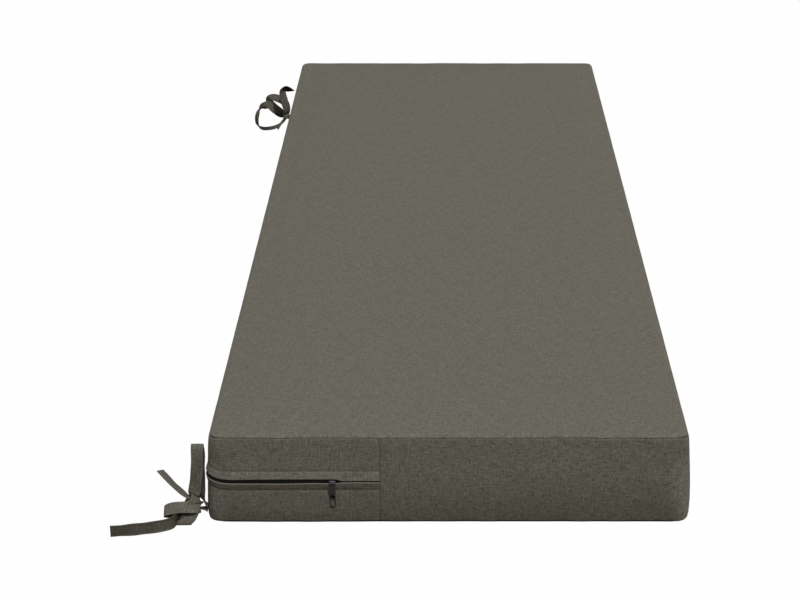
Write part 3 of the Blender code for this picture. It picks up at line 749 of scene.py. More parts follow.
def tube_faces(rings, around, closed=False):
    """Quads between rings of points, closed into a loop or with a face over each end."""
    faces = []
    for ring in range(rings if closed else rings - 1):
        here, there = ring * around, (ring + 1) % rings * around
        for side in range(around):
            after = (side + 1) % around
            faces.append((here + side, here + after, there + after, there + side))
    if not closed:
        faces.append(tuple(range(around))[::-1])
        faces.append(tuple((rings - 1) * around + side for side in range(around)))
    return faces


def apply_modifiers(piece):
    select_only(piece)
    for modifier in list(piece.modifiers):
        bpy.ops.object.modifier_apply(modifier=modifier.name)


def bevel_edges(piece, width, segments, angle=30.0):
    bevel = piece.modifiers.new("edges", "BEVEL")
    bevel.width = width
    bevel.segments = segments
    bevel.limit_method = "ANGLE"
    bevel.angle_limit = math.radians(angle)


def loop_lengths(section):
    """Length along a section's line at each of its points."""
    steps = np.linalg.norm(np.diff(section, axis=0), axis=1)
    return np.concatenate([[0.0], np.cumsum(steps)])


def fade(distance, reach):
    """1 at an edge, falling smoothly to 0 at a reach from it."""
    return np.clip(1.0 - distance / reach, 0.0, 1.0) ** 2


FINE_ENDS = np.array([0.0002, 0.0006, 0.0011, 0.0017])   # extra sections near a strip's ends
END_DIP, DIP_REACH = 0.0006, 0.0022     # a strip turns into the cross seams at its ends
FOOT_SHADE, SHADE_BLEND = 0.0029, 0.0012    # painted shade darkens its turned-under edge below this height


def sewn_strip(name, start, end, step, section_at, plan_line, material, worn=0.0):
    """A strip of cloth round the side, from a closed section of (out, height) at each length."""
    s = np.linspace(start, end, int(round((end - start) / step)) + 1)
    s = np.unique(np.concatenate([s, start + FINE_ENDS, end - FINE_ENDS]))
    sections = np.stack([section_at(length) for length in s])
    count, around = sections.shape[:2]
    out, z = sections[..., 0], sections[..., 1]
    dip = fade(np.minimum(s - start, end - s), DIP_REACH)[:, None] * END_DIP
    points = wrap(s[:, None], out - dip, z)
    plan = np.stack(np.broadcast_arrays(s[:, None], plan_line), -1)
    # the shaded mask is painted shade on the turned-under foot edge
    masks = {"worn": np.broadcast_to(worn, (count, around)).ravel(),
             "shaded": np.clip((FOOT_SHADE - z) / SHADE_BLEND, 0.0, 1.0).ravel()}
    return add_piece(name, points.reshape(-1, 3), tube_faces(count, around),
                     plan.reshape(-1, 2), material, masks)


# ---------------------------------------------------------------------- cushion body

BODY_NAME = "cushion_body"
CELLS_ACROSS = 46
CELLS_ALONG = 144
# The body's rings outside the flat middles: mm inside the seam line, and height in mm. That of
# a top ring is measured from its seam, or is the crown's own
FOOT_RINGS = ((27, 0), (18, 0), (12, 0), (7.5, 0), (4, 0.04), (1.2, 0.02), (-0.8, 0.04),
              (-1.8, 0.12), (-2.25, 0.35), (-2.15, 0.7), (-1.7, 1.05), (-1, 1.3), (-0.2, 1.5))
REBATE_RINGS = (4, 8, 14, 26, 40, 54, 68, 80, 90, 94.5)
TOP_RINGS = ((1.4, -0.7), (0.55, -0.5), (0.12, -0.3), (-0.10, 0.1), (0.05, 0.7), (0.6, 1.5),
             *((inside, None) for inside in (1.6, 3, 4.8, 8, 13, 20, 29)))
REBATE_GAP = 0.0004      # between the body and the back of a strip
FOOT_REACH, TOP_REACH = 6.0, 14.0    # mm that a seam's waves reach into the panels
FOOT_LEVEL = 1.2         # mm up, where the foot's rings take all of those waves
SHARPEST = 0.004         # least radius of a ring's corners
RIDGE_BLEND = 0.03
RIM_UP, RIM_IN = 0.0004, 0.0008      # the part of the foot's seam that painted shade darkens


def inset_line(s, inside, radius):
    """Points of the seam line moved inwards, with corners that stay a little round; or outwards."""
    if inside <= 0.0:
        place, normal = seam_line(s, radius)
        return place - inside * normal
    return seam_line(s, max(SHARPEST, radius - inside), inside)[0]


def inside_of(x, y):
    """How far a point lies inside the rounded seam line, its ridges blended."""
    radius = corner_radius(TOP_SEAM)
    qx = np.abs(x) - WIDTH / 2 + radius
    qy = np.abs(y) - LENGTH / 2 + radius
    deepest = RIDGE_BLEND * np.logaddexp(qx / RIDGE_BLEND, qy / RIDGE_BLEND)
    outer = np.hypot(np.maximum(qx, 0), np.maximum(qy, 0))
    return radius - (outer + np.minimum(deepest, 0))


def crown_at(x, y):
    return CROWN * CROWN_CURVE(np.maximum(inside_of(x, y), 0) / MM)


def body_stations():
    """Lengths round the seam line that line up with the cells of the inner rectangle."""
    turns = [corner[0] for corner in CORNERS] + [CORNERS[0][0] + ROUND]
    cells = (CELLS_ALONG, CELLS_ACROSS) * 2
    return np.concatenate([np.linspace(start, end, count, endpoint=False)
                           for start, end, count in zip(turns, turns[1:], cells)])


def inner_rectangle():
    """The inner rectangle's grid, and the row of its edge points in the stations' order."""
    x, y = (np.linspace(-(size / 2 - INNER), size / 2 - INNER, cells + 1)
            for size, cells in ((WIDTH, CELLS_ACROSS), (LENGTH, CELLS_ALONG)))
    grid = np.stack(np.meshgrid(x, y, indexing="ij"), -1)
    index = np.arange(grid.shape[0] * grid.shape[1]).reshape(grid.shape[:2])
    edge = np.concatenate([index[-1, :-1], index[::-1, -1][:-1], index[0, ::-1][:-1],
                           index[:-1, 0]])
    return grid.reshape(-1, 2), index, edge


def make_body(material):
    """The filled bag: a slightly slack form is blown up by a cloth simulation, then finished."""
    stations = body_stations()
    around = len(stations)
    grid, index, edge = inner_rectangle()
    points, plan, faces = [], [], []

    def add_points(places, heights):
        first = sum(len(part) for part in points)
        points.append(np.column_stack([places, heights]))
        plan.append(places)
        return first

    def add_grid(heights, upwards):
        corners = index + add_points(grid, heights)
        quads = [corners[:-1, :-1], corners[1:, :-1], corners[1:, 1:], corners[:-1, 1:]]
        quads = np.stack(quads if upwards else quads[::-1], -1)
        faces.extend(quads.reshape(-1, 4).tolist())
        return corners.ravel()[edge]

    def join_rings(low, high):
        quads = np.column_stack([low, np.roll(low, -1), np.roll(high, -1), high])
        faces.extend(quads.tolist())
        return high

    def add_ring(places, heights, before):
        return join_rings(before, add_points(places, heights) + np.arange(around))

    _, normal = seam_line(stations)
    ring = add_grid(np.zeros(len(grid)), upwards=False)
    foot_out, foot_up = cover_shift(stations, np.full(around, FOOT_SEAM))
    for inside, height in FOOT_RINGS:
        reach = math.exp(-(max(inside, 0.0) / FOOT_REACH) ** 2)
        places = inset_line(stations, inside * MM, corner_radius(FOOT_SEAM))
        places = places + normal * (foot_out * reach)[:, None]
        lift = foot_up * reach * min(1.0, height / FOOT_LEVEL)
        ring = add_ring(places, np.maximum(height * MM + lift, 0.0), ring)
    for height in REBATE_RINGS:
        z = height * MM
        world = wrap(stations, side_out(z) - CLOTH - REBATE_GAP, z)
        ring = add_ring(world[:, :2], world[:, 2], ring)
    top_out, top_up = cover_shift(stations, np.full(around, TOP_SEAM))
    for inside, rise in TOP_RINGS:
        reach = math.exp(-(max(inside, 0.0) / TOP_REACH) ** 2)
        places = inset_line(stations, inside * MM, corner_radius(TOP_SEAM))
        places = places + normal * (top_out * reach)[:, None]
        up = crown_at(places[:, 0], places[:, 1]) if rise is None else rise * MM
        ring = add_ring(places, TOP_SEAM + up + top_up * reach, ring)
    join_rings(ring, add_grid(TOP_SEAM + crown_at(grid[:, 0], grid[:, 1]), upwards=True))
    points = np.concatenate(points)
    # painted shade along the turned-under foot seam
    rim = points[:, 2] < FOOT_SEAM + RIM_UP
    rim &= inside_of(points[:, 0], points[:, 1]) < RIM_IN
    body = add_piece(BODY_NAME, points, faces, np.concatenate(plan), material, {"shaded": rim})
    blow_up(body)
    finer = body.modifiers.new("finer", "SUBSURF")
    finer.levels = finer.render_levels = 1
    apply_modifiers(body)
    hand_over(body, "cushion")


SLACK = 0.0045           # how much lower the top panel starts before the filling swells it
SWELL_CAP = 0.0047       # most that the simulation may move a point
TOP_FREE = 0.0012        # the panel is free above this height over its seam
FREE_FROM, FREE_OVER = 0.002, 0.030  # and from here inside the seam, fully after this much more
LOOSE = 0.001            # how firmly a free point is held
LAST_FRAME = 20
FILLING = {
    "quality": 6, "mass": 0.35, "tension_stiffness": 22.0, "compression_stiffness": 22.0,
    "shear_stiffness": 8.0, "bending_stiffness": 3.0, "use_pressure": True,
    "uniform_pressure_force": 4.0, "vertex_group_mass": "held",
}


def read_points(mesh):
    flat = np.zeros(len(mesh.vertices) * 3)
    mesh.vertices.foreach_get("co", flat)
    return flat.reshape(-1, 3)


def blow_up(body):
    """Cloth pressure lifts the slack top panel; the seams and the underside are held."""
    mesh = body.data
    slack = read_points(mesh)
    inside = inside_of(slack[:, 0], slack[:, 1])
    free = np.where(slack[:, 2] > TOP_SEAM + TOP_FREE,
                    np.clip((inside - FREE_FROM) / FREE_OVER, 0.0, 1.0), 0.0)
    slack[:, 2] -= SLACK * free
    mesh.vertices.foreach_set("co", slack.ravel())
    held = body.vertex_groups.new(name="held")
    for loose, weight in ((True, LOOSE), (False, 1.0)):
        held.add(np.flatnonzero((free > 0) == loose).tolist(), weight, "REPLACE")
    cloth = body.modifiers.new("filling", "CLOTH")
    for label, value in FILLING.items():
        setattr(cloth.settings, label, value)
    cloth.settings.effector_weights.gravity = 0.0
    cloth.point_cache.frame_start = 1
    cloth.point_cache.frame_end = LAST_FRAME
    scene = bpy.context.scene
    for number in range(1, LAST_FRAME + 1):
        scene.frame_set(number)
    shown = body.evaluated_get(bpy.context.evaluated_depsgraph_get())
    moved = read_points(shown.data) - slack
    body.modifiers.remove(cloth)
    body.vertex_groups.remove(held)
    reach = np.linalg.norm(moved, axis=1, keepdims=True)
    capped = moved * (SWELL_CAP * np.tanh(reach / SWELL_CAP) / np.maximum(reach, 1e-9))
    mesh.vertices.foreach_set("co", (slack + capped * free[:, None]).ravel())
    mesh.update()
    scene.frame_set(1)


# ---------------------------------------------------------------------- boxing and flaps

EVEN_FROM = 0.009        # the even rows begin this far from a strip's edge
BOXING_BACK_ROWS, FLAP_BACK_ROWS = 9, 6


def declare_strip(piece, node):
    hand_over(piece, node)


def make_boxing(material):
    """The plain boxing strip, its long edges rolled into the seams."""
    low, high = FOOT_SEAM + FOOT_EDGE, TOP_SEAM - TOP_EDGE
    rows = np.linspace(low + EVEN_FROM, high - EVEN_FROM, int((high - low - 2 * EVEN_FROM) / ROW))
    heights = np.concatenate([low + EDGE_STEPS, rows, (high - EDGE_STEPS)[::-1]])
    away = np.minimum(heights - heights[0], heights[-1] - heights)
    roll = np.where(heights < TOP_SEAM / 2, FOOT_ROLL, TOP_ROLL) * fade(away, ROLL_REACH)
    outer = np.column_stack([side_out(heights) - roll, heights])
    back = np.linspace(high - BACK_INSET, low + BACK_INSET, BOXING_BACK_ROWS)
    section = np.concatenate([outer, np.column_stack([side_out(back) - CLOTH, back])])
    piece = sewn_strip("boxing_strip", NEAR_SEAM - ROUND + CROSS_EDGE, FAR_SEAM - CROSS_EDGE,
                       STEP_ROUND, lambda s: section, loop_lengths(section), material)
    declare_strip(piece, "boxing_plain")


# One flap from just beyond its stitching to its lip and back behind the zip: rise from the
# middle of the zip and out from the side in mm, how far it follows the lip, and how worn it is
FLAP_LINE = np.array((
    (13.6, 0, 0, 0), (12.6, -0.05, 0, 0), (11.8, -0.14, 0, 0), (11.1, -0.26, 0, 0),
    (10.6, -0.38, 0, 0), (10.25, -0.38, 0, 0), (9.9, -0.12, 0, 0.1), (9.4, 0.18, 0.05, 0.1),
    (8.4, 0.52, 0.15, 0), (7.2, 0.86, 0.3, 0), (5.8, 1.25, 0.5, 0), (4.7, 1.56, 0.7, 0),
    (3.6, 1.88, 0.9, 0.2), (2.95, 2, 1, 0.7), (2.45, 1.92, 1, 0.9), (2.2, 1.66, 1, 0.8),
    (2.2, 1.3, 1, 0.5), (2.3, 0.95, 1, 0.2), (2.7, 0.5, 0.9, 0), (4.2, 0.02, 0.6, 0),
    (6.6, -0.45, 0.3, 0), (8.6, -0.8, 0.1, 0), (9.4, -1.8, 0, 0),
))
BACKING_RISE = 0.0108    # from the middle of the zip to where the flap's back begins
SKIN_CLEAR = 0.0015      # between the last row of the plain part and the flap's line
SHUT_DROP = 0.0006       # the closed lips sag this much
SHUT_CALM, SHUT_FLAT = 0.8, 0.12     # how much the closed lips ripple and stand out less


def lip_close(s):
    """How far the flaps draw together at a length round the seam line, from 0 to 1."""
    x, y = seam_line(np.array([s]))[0][0]
    if abs(y) < LENGTH / 2 - 1e-6:
        return 0.0
    t = min(1.0, max(0.0, (x - (MEET_X - MEET_REACH)) / MEET_REACH))
    return t * t * (3 - 2 * t)


def make_flap(name, side, node, material):
    """One half of the zip panel; side is 1 above the zip and -1 below it."""
    far, roll = (TOP_SEAM - TOP_EDGE, TOP_ROLL) if side > 0 else (FOOT_SEAM + FOOT_EDGE, FOOT_ROLL)
    rise, out, follows, worn = FLAP_LINE.T
    span = abs(far - (ZIP_Z + side * rise[0] * MM))
    rows = np.linspace(EVEN_FROM, span - SKIN_CLEAR, int(span / ROW))
    away = np.concatenate([EDGE_STEPS, rows])
    heights = far - side * away
    skin = np.column_stack([side_out(heights) - roll * fade(away, ROLL_REACH), heights])
    back = np.linspace(ZIP_Z + side * BACKING_RISE, far - side * BACK_INSET, FLAP_BACK_ROWS)
    backing = np.column_stack([side_out(back) - CLOTH, back])
    worn = np.concatenate([np.zeros(len(skin)), worn, np.zeros(len(backing))])

    def section_at(s):
        close = lip_close(s)
        ripple = wave_sum(LIP_RIPPLE, s) * MM * (1.0 - SHUT_CALM * close)
        drawn = ripple - (ZIP_GAP - ZIP_SHUT) / 2 * close
        z = ZIP_Z + side * (rise * MM + drawn * follows) - SHUT_DROP * close * follows
        lip = np.column_stack([side_out(z) + out * MM * (1.0 - SHUT_FLAT * close), z])
        return np.concatenate([skin, lip, backing])

    plan_line = loop_lengths(section_at(FAR_SEAM + 0.5))
    piece = sewn_strip(name, FAR_SEAM + CROSS_EDGE, NEAR_SEAM - CROSS_EDGE, STEP_ROUND,
                       section_at, plan_line, material, worn)
    declare_strip(piece, node)


# --------------------------------------------------------------------------- the zip

# The zip's tape, front then back: rise from the middle of the zip and out from the side in mm
ZIP_TAPE_LINE = np.array((
    (5.8, -1.25), (5.2, -0.95), (3.2, -0.9), (1.9, -0.85), (1.2, -0.55), (0, -0.45),
    (-1.2, -0.55), (-1.9, -0.85), (-3.2, -0.9), (-5.2, -0.95), (-5.8, -1.25),
    (-5.8, -1.75), (-3, -1.8), (0, -1.8), (3, -1.8), (5.8, -1.75),
)) * MM
ZIP_TAPE_EDGE = 0.0006   # it stops this far from each cross seam
TOOTH = (0.00095, 0.0011, 0.0028)    # along the zip, out and up
TOOTH_STEP = 0.00135
WAIST, WAIST_REACH = 0.0004, 0.0006
WAIST_SHARES = (0.70, 0.80, 1.0)
COIL_OUT = 0.0003
COIL_START, COIL_PAST = 0.0015, 0.004    # from the far cross seam, and short of the slider
STITCH_LONG, STITCH_RADIUS, STITCH_STEP = 0.0024, 0.00024, 0.0036
STITCH_TIP = 0.0004      # each end runs on by this much, thinner and sunk in the cloth
TIP_SUNK, STITCH_SUNK = 0.00035, 0.00022
STITCH_START, STITCH_END = 0.003, 0.002


def make_zip_tape(material):
    """The woven tape behind the flaps, raised a little along its middle."""
    z = ZIP_Z + ZIP_TAPE_LINE[:, 0]
    section = np.column_stack([side_out(z) + ZIP_TAPE_LINE[:, 1], z])
    piece = sewn_strip("zip_tape_cloth", FAR_SEAM + ZIP_TAPE_EDGE, NEAR_SEAM - ZIP_TAPE_EDGE,
                       2 * STEP_ROUND, lambda s: section, loop_lengths(section), material)
    declare_strip(piece, "zip_tape")


def repeat_along(name, template, s, out, z, material):
    """Copies of a small modelled shape along the cover, joined into one piece."""
    shape = read_points(template.data)
    parts = [tuple(polygon.vertices) for polygon in template.data.polygons]
    faces = [tuple(number * len(shape) + corner for corner in part)
             for number in range(len(s)) for part in parts]
    along = (s[:, None] + shape[:, 0]).ravel()
    out, z = (np.tile(value + shape[:, axis], len(s)) for value, axis in ((out, 1), (z, 2)))
    plan = np.column_stack([along, np.tile(shape[:, 2], len(s))])
    bpy.data.objects.remove(template, do_unlink=True)
    piece = add_piece(name, wrap(along, out, z), faces, plan, material)
    hand_over(piece)


def make_coil(material):
    """The closed coil: one turn modelled as a waisted bar and repeated along the zip."""
    select_only()
    bpy.ops.mesh.primitive_cube_add(size=1.0)
    tooth = bpy.context.object
    bpy.ops.object.mode_set(mode="EDIT")
    bpy.ops.mesh.select_all(action="SELECT")
    bpy.ops.transform.resize(value=TOOTH, center_override=(0, 0, 0))
    for side in (1, -1):
        bpy.ops.mesh.bisect(plane_co=(0, 0, side * WAIST), plane_no=(0, 0, 1))
        bpy.ops.mesh.select_all(action="SELECT")
    bpy.ops.object.mode_set(mode="OBJECT")
    for vertex in tooth.data.vertices:
        if abs(vertex.co.z) < WAIST_REACH:
            vertex.co *= Vector(WAIST_SHARES)
    bevel_edges(tooth, 0.00022, 1)
    apply_modifiers(tooth)
    s = np.arange(FAR_SEAM + COIL_START, ROUND + SLIDER_X - COIL_PAST, TOOTH_STEP)
    repeat_along("zip_coil", tooth, s, side_out(ZIP_Z) + COIL_OUT, ZIP_Z, material)


def make_stitches(name, side, material):
    """A row of top stitching that holds a flap down, each stitch half sunk in the cloth."""
    select_only()
    bpy.ops.mesh.primitive_cylinder_add(vertices=6, radius=STITCH_RADIUS, depth=STITCH_LONG,
                                        rotation=(0, math.pi / 2, 0))
    stitch = bpy.context.object
    bpy.ops.object.transform_apply(location=False, rotation=True, scale=False)
    bpy.ops.object.mode_set(mode="EDIT")
    bpy.ops.mesh.select_all(action="DESELECT")
    bpy.ops.mesh.select_mode(type="FACE")
    bpy.ops.object.mode_set(mode="OBJECT")
    for polygon in stitch.data.polygons:
        polygon.select = abs(polygon.normal.x) > 0.9
    bpy.ops.object.mode_set(mode="EDIT")
    bpy.ops.mesh.extrude_region_shrink_fatten(TRANSFORM_OT_shrink_fatten={"value": STITCH_TIP})
    bpy.ops.object.mode_set(mode="OBJECT")
    for vertex in stitch.data.vertices:
        if abs(vertex.co.x) > (STITCH_LONG + STITCH_TIP) / 2:
            vertex.co.y = vertex.co.y * 0.5 - TIP_SUNK
            vertex.co.z *= 0.5
    z = ZIP_Z + side * STITCH_RISE
    s = np.arange(FAR_SEAM + STITCH_START, NEAR_SEAM - STITCH_END, STITCH_STEP)
    repeat_along(name, stitch, s, side_out(z) - STITCH_SUNK, z, material)


SHARP = 35.0             # degrees: an edge above this is worn on metal, and isn't smoothed
ZIP_FRONT = -LENGTH / 2 - float(side_out(ZIP_Z))
PLATE_OUT, PLATE = 0.0042, (0.0074, 0.0014, 0.0046)
NOSE_SHARE, FACE_LONG, FACE_TALL = 0.62, 0.86, 0.80
STEM_OUT, STEM = 0.0025, (0.0062, 0.0032, 0.0024)
BAIL_OUT, BAIL_BACK, BAIL_LONG, BAIL_TALL = 0.0048, 0.0002, 1.55, 0.95
BAIL_RADIUS, BAIL_WIRE = 0.00165, 0.00042
PULL_TOP = ZIP_Z - 0.0030
PULL_STANDS = 0.0042
PULL_LEAN = 6.0
PULL_THICK = 0.0009
PULL_LONG = 27.0
# Half the pull's outline: half width and way down, in mm
PULL_OUTLINE = ((2.2, 0), (3.3, 0.5), (3.9, 1.6), (3.9, 3.6), (3.7, 6), (3.2, 8.4), (2.6, 10.5),
                (2.5, 12), (2.7, 13.5), (2.95, 15), (3.1, 16.4), (3.15, 20), (3.1, 24),
                (2.7, 25.8), (2, 26.5), (1, 26.9))
PULL_SLOT = (2.5, 15.3, 26.2)        # half width, top and bottom in mm
SLOT_TURN = 50.0         # degrees from the slot's top to the point that meets the outline's first
# painted shadow across the pull's bar above its slot, between these heights
SHADOW_BAND = (PULL_TOP - 0.0160, PULL_TOP - 0.0126)


def finish_metal(piece, node):
    """Masks a piece's sharp edges as worn, puts its place into its mesh and smooths it."""
    work = bmesh.new()
    work.from_mesh(piece.data)
    sharp = {vertex.index for edge in work.edges if len(edge.link_faces) == 2
             and math.degrees(edge.calc_face_angle()) > SHARP for vertex in edge.verts}
    add_mask(piece.data, "worn", [float(vertex.index in sharp) for vertex in work.verts])
    work.free()
    select_only(piece)
    bpy.ops.object.transform_apply(location=True, rotation=True, scale=True)
    bpy.ops.object.shade_smooth_by_angle(angle=math.radians(SHARP))
    hand_over(piece, node)


def join_pieces(name, parts):
    select_only(*parts)
    bpy.ops.object.join()
    parts[0].name = name
    return parts[0]


def stretch_part(part, centre, shares, chosen=lambda point: True):
    """Scales the chosen points of a part about a centre, by a share for each axis."""
    centre = Vector(centre)
    for vertex in part.data.vertices:
        if chosen(vertex.co):
            vertex.co = centre + (vertex.co - centre) * Vector(shares)


def make_slider(material):
    """The slider: a plate over the flaps that narrows to its nose, a stem, and a bail."""
    parts = []
    for out, size, width in ((PLATE_OUT, PLATE, 0.0005), (STEM_OUT, STEM, 0.0004)):
        select_only()
        place = (SLIDER_X, ZIP_FRONT - out, ZIP_Z)
        bpy.ops.mesh.primitive_cube_add(size=1.0, location=place, scale=size)
        bpy.ops.object.transform_apply(location=True, rotation=True, scale=True)
        part = bpy.context.object
        if size is PLATE:
            stretch_part(part, place, (1, 1, NOSE_SHARE), lambda point: point.x > place[0])
            stretch_part(part, place, (FACE_LONG, 1, FACE_TALL), lambda point: point.y < place[1])
        bevel_edges(part, width, 3)
        apply_modifiers(part)
        parts.append(part)
    select_only()
    place = (SLIDER_X - BAIL_BACK, ZIP_FRONT - BAIL_OUT, ZIP_Z)
    bpy.ops.mesh.primitive_torus_add(
        location=place, rotation=(0, 0, math.pi / 2), major_segments=24, minor_segments=8,
        major_radius=BAIL_RADIUS, minor_radius=BAIL_WIRE)
    bpy.ops.object.transform_apply(location=True, rotation=True, scale=True)
    bail = bpy.context.object
    stretch_part(bail, (SLIDER_X, place[1], ZIP_Z), (BAIL_LONG, 1, BAIL_TALL))
    piece = join_pieces("slider", [*parts, bail])
    piece.data.materials.append(material)
    finish_metal(piece, "zip_slider")


def make_pull(material):
    """The flat pull: an outline and a slot bridged, thickened, bevelled and hung from the bail."""
    outline = [*PULL_OUTLINE, (0.0, PULL_LONG), *((-x, down) for x, down in reversed(PULL_OUTLINE))]
    half, top, bottom = PULL_SLOT
    turns = np.linspace(0.0, 2 * math.pi, len(outline), endpoint=False) + math.radians(SLOT_TURN)
    slot = []
    for turn in turns:
        middle = top + half if math.cos(turn) > 0 else bottom - half
        slot.append((half * math.sin(turn), middle - half * math.cos(turn)))
    rings = []
    for line in (outline, slot):
        select_only()
        bpy.ops.mesh.primitive_circle_add(vertices=len(line), fill_type="NOTHING")
        rings.append(bpy.context.object)
        for vertex, (x, down) in zip(rings[-1].data.vertices, line):
            vertex.co = (x * MM, 0.0, -down * MM)
    piece = join_pieces("zip_pull_tab", rings)
    piece.data.materials.append(material)
    bpy.ops.object.mode_set(mode="EDIT")
    bpy.ops.mesh.select_all(action="SELECT")
    bpy.ops.mesh.bridge_edge_loops()
    bpy.ops.object.mode_set(mode="OBJECT")
    solid = piece.modifiers.new("thickness", "SOLIDIFY")
    solid.thickness = PULL_THICK
    solid.offset = 0.0
    bevel_edges(piece, 0.00018, 2, angle=50.0)
    apply_modifiers(piece)
    face_out(piece)
    piece.rotation_euler = (math.radians(PULL_LEAN), 0.0, 0.0)
    piece.location = (SLIDER_X, ZIP_FRONT - PULL_STANDS, PULL_TOP)
    finish_metal(piece, "zip_pull")


# ---------------------------------------------------------------------------- the ties

ROUTE_PARTS = 24         # steps between two rows of a route
# Half the section of a folded tape, fuller at its stitched edges: across as a share of its half
# width, and out as a share of its half thickness
HALF_SECTION = np.array(((1, 0), (0.985, 0.62), (0.93, 1), (0.84, 0.96), (0.76, 0.72),
                         (0.5, 0.8), (0.2, 0.86)))
TAPE_SECTION = np.concatenate([HALF_SECTION, HALF_SECTION[::-1] * (-1, 1),
                               HALF_SECTION[1:] * (-1, -1), HALF_SECTION[:0:-1] * (1, -1)])
# Unevenness along a tape, as height and length of a wave over one turn: two that twist it, two
# that cup it and one of its edges. One draw more is made, and isn't used
TAPE_WAVES = ((0.00022, 0.0083), (0.00022, 0.0051), (0.00035, 0.017), (0.0002, 0.0069),
              (0.00016, 0.0037))
ABOUT_A_TURN = 6.28
CUP_MEAN = 0.4
DARK_FACE = 0.74         # how far painted shade darkens the shaded side of a tape
WORN_FROM, EDGE_WORN = 0.9, 0.8
BACK_PLAN = 0.02         # the plan of a tape's back lies this far beside its front's


def tie_place(out, along, up, root_y):
    """World places from mm outwards from the seam line, along from a tie's root and up."""
    return np.stack([-WIDTH / 2 - out * MM, root_y + along * MM, up * MM], -1)


def unit(vectors):
    return vectors / np.linalg.norm(vectors, axis=-1, keepdims=True)


def tape_route(rows, root_y):
    """Evenly spaced centres, across directions and shares on a smooth line through rows."""
    rows = np.array([(*row, *ROUTE_REST[len(row) - 6:]) for row in rows], float)
    knots = np.vstack([rows[0], rows, rows[-1]])
    t = np.arange(ROUTE_PARTS)[:, None] / ROUTE_PARTS
    dense = np.vstack([
        a * (-t + 2 * t ** 2 - t ** 3) / 2 + b * (2 - 5 * t ** 2 + 3 * t ** 3) / 2
        + c * (t + 4 * t ** 2 - 3 * t ** 3) / 2 + d * (t ** 3 - t ** 2) / 2
        for a, b, c, d in zip(knots, knots[1:], knots[2:], knots[3:])] + [rows[-1:]])
    dense[:, :3] = tie_place(*dense[:, :3].T, root_y)
    dense[:, 3] *= -1
    gone = loop_lengths(dense[:, :3])
    at = np.linspace(0.0, gone[-1], int(gone[-1] / TAPE_STEP) + 1)
    route = np.column_stack([np.interp(at, gone, column) for column in dense.T])
    line = route[:, :6]
    for _ in range(2):
        line[1:-1] = (line[:-2] + 2 * line[1:-1] + line[2:]) / 4
    slanting, shade = np.clip(route[:, 7:9].T, 0.0, 1.0)
    return line[:, :3], line[:, 3:], route[:, 6], slanting, shade, at


def make_tape(name, rows, root_y, slant, shaded_side, material):
    """A flat folded tape along a route; slant draws one corner of its free end on."""
    centres, across, width, slanting, shade, at = tape_route(rows, root_y)
    forward = unit(np.gradient(centres, axis=0))
    turned = (across * forward).sum(1) * (1.0 - slanting)
    across = unit(across - turned[:, None] * forward)
    normal = unit(np.cross(forward, across))
    phases = DRAWS.uniform(0, ABOUT_A_TURN, len(TAPE_WAVES) + 1)
    ripples = [high * np.sin(at / long + phase) for (high, long), phase in zip(TAPE_WAVES, phases)]
    flutter = (ripples[0] + ripples[1])[:, None]
    cup = (ripples[2] + ripples[3])[:, None]
    half_width = (TAPE_WIDTH / 2 * width + ripples[4])[:, None]
    shift = slant * np.clip(1.0 - (at[-1] - at) / SLANT_REACH, 0.0, 1.0)[:, None]
    a, h = TAPE_SECTION.T
    lift = h * TAPE_THICK / 2 + flutter * a + cup * (a ** 2 - CUP_MEAN)
    points = centres[:, None, :]
    for way, reach in ((across, a * half_width), (normal, lift), (forward, shift * a)):
        points = points + way[:, None, :] * reach[..., None]
    grid = (len(at), len(TAPE_SECTION))
    plan = np.stack(np.broadcast_arrays(a * TAPE_WIDTH / 2 + BACK_PLAN * (h < 0), at[:, None]), -1)
    # the shaded mask is painted shade: on one face, and where the route asks for it
    masks = {"worn": np.broadcast_to((np.abs(a) > WORN_FROM) * EDGE_WORN, grid).ravel(),
             "shaded": np.maximum((h * shaded_side > 0) * DARK_FACE, shade[:, None]).ravel()}
    tape = add_piece(name, points.reshape(-1, 3), tube_faces(*grid), plan.reshape(-1, 2),
                     material, masks)
    hand_over(tape)
    return tape, centres


# Each knot: centre (out, along, up) and the core's size in mm, then the bands round it as axis,
# way across the axis, offset, half sizes round it and width along it
FRONT_KNOT = ((20.5, -9.0, 21.5), (13.0, 9.0, 12.0), (
    ((-0.72, -0.20, 0.62), (0.6, -0.6, 0.5), (-1.0, 0.0, 0.5), 5.6, 6.4, 8.5),
    ((-0.20, 0.30, 1.00), (1.0, 0.2, 0.2), (1.0, 0.5, 0.0), 6.4, 5.2, 7.0),
))
BACK_KNOT = ((25.0, -15.5, 27.0), (9.0, 11.0, 11.0), (
    ((-0.30, 0.10, 1.00), (1.0, 0.0, 0.3), (0.0, 0.0, 0.0), 5.2, 5.6, 8.0),
))
BAND_STEPS = 40
BAND_HALF_THICK = 0.0011
BAND_SECTION = ((1, 0), (0.9, 0.75), (0.55, 1.0), (0.15, 0.75), (-0.2, 1.05), (-0.6, 0.85),
                (-0.92, 0.7), (-1, 0), (-0.8, -0.7), (0.0, -0.8), (0.8, -0.7))
FOLDED = {2: 1.0, 4: -1.0}           # the section's points that a fold lifts or presses down
BAND_PLAN = (0.0014, 0.0012)
BAND_WORN, CORE_SHADED = 0.2, 0.9


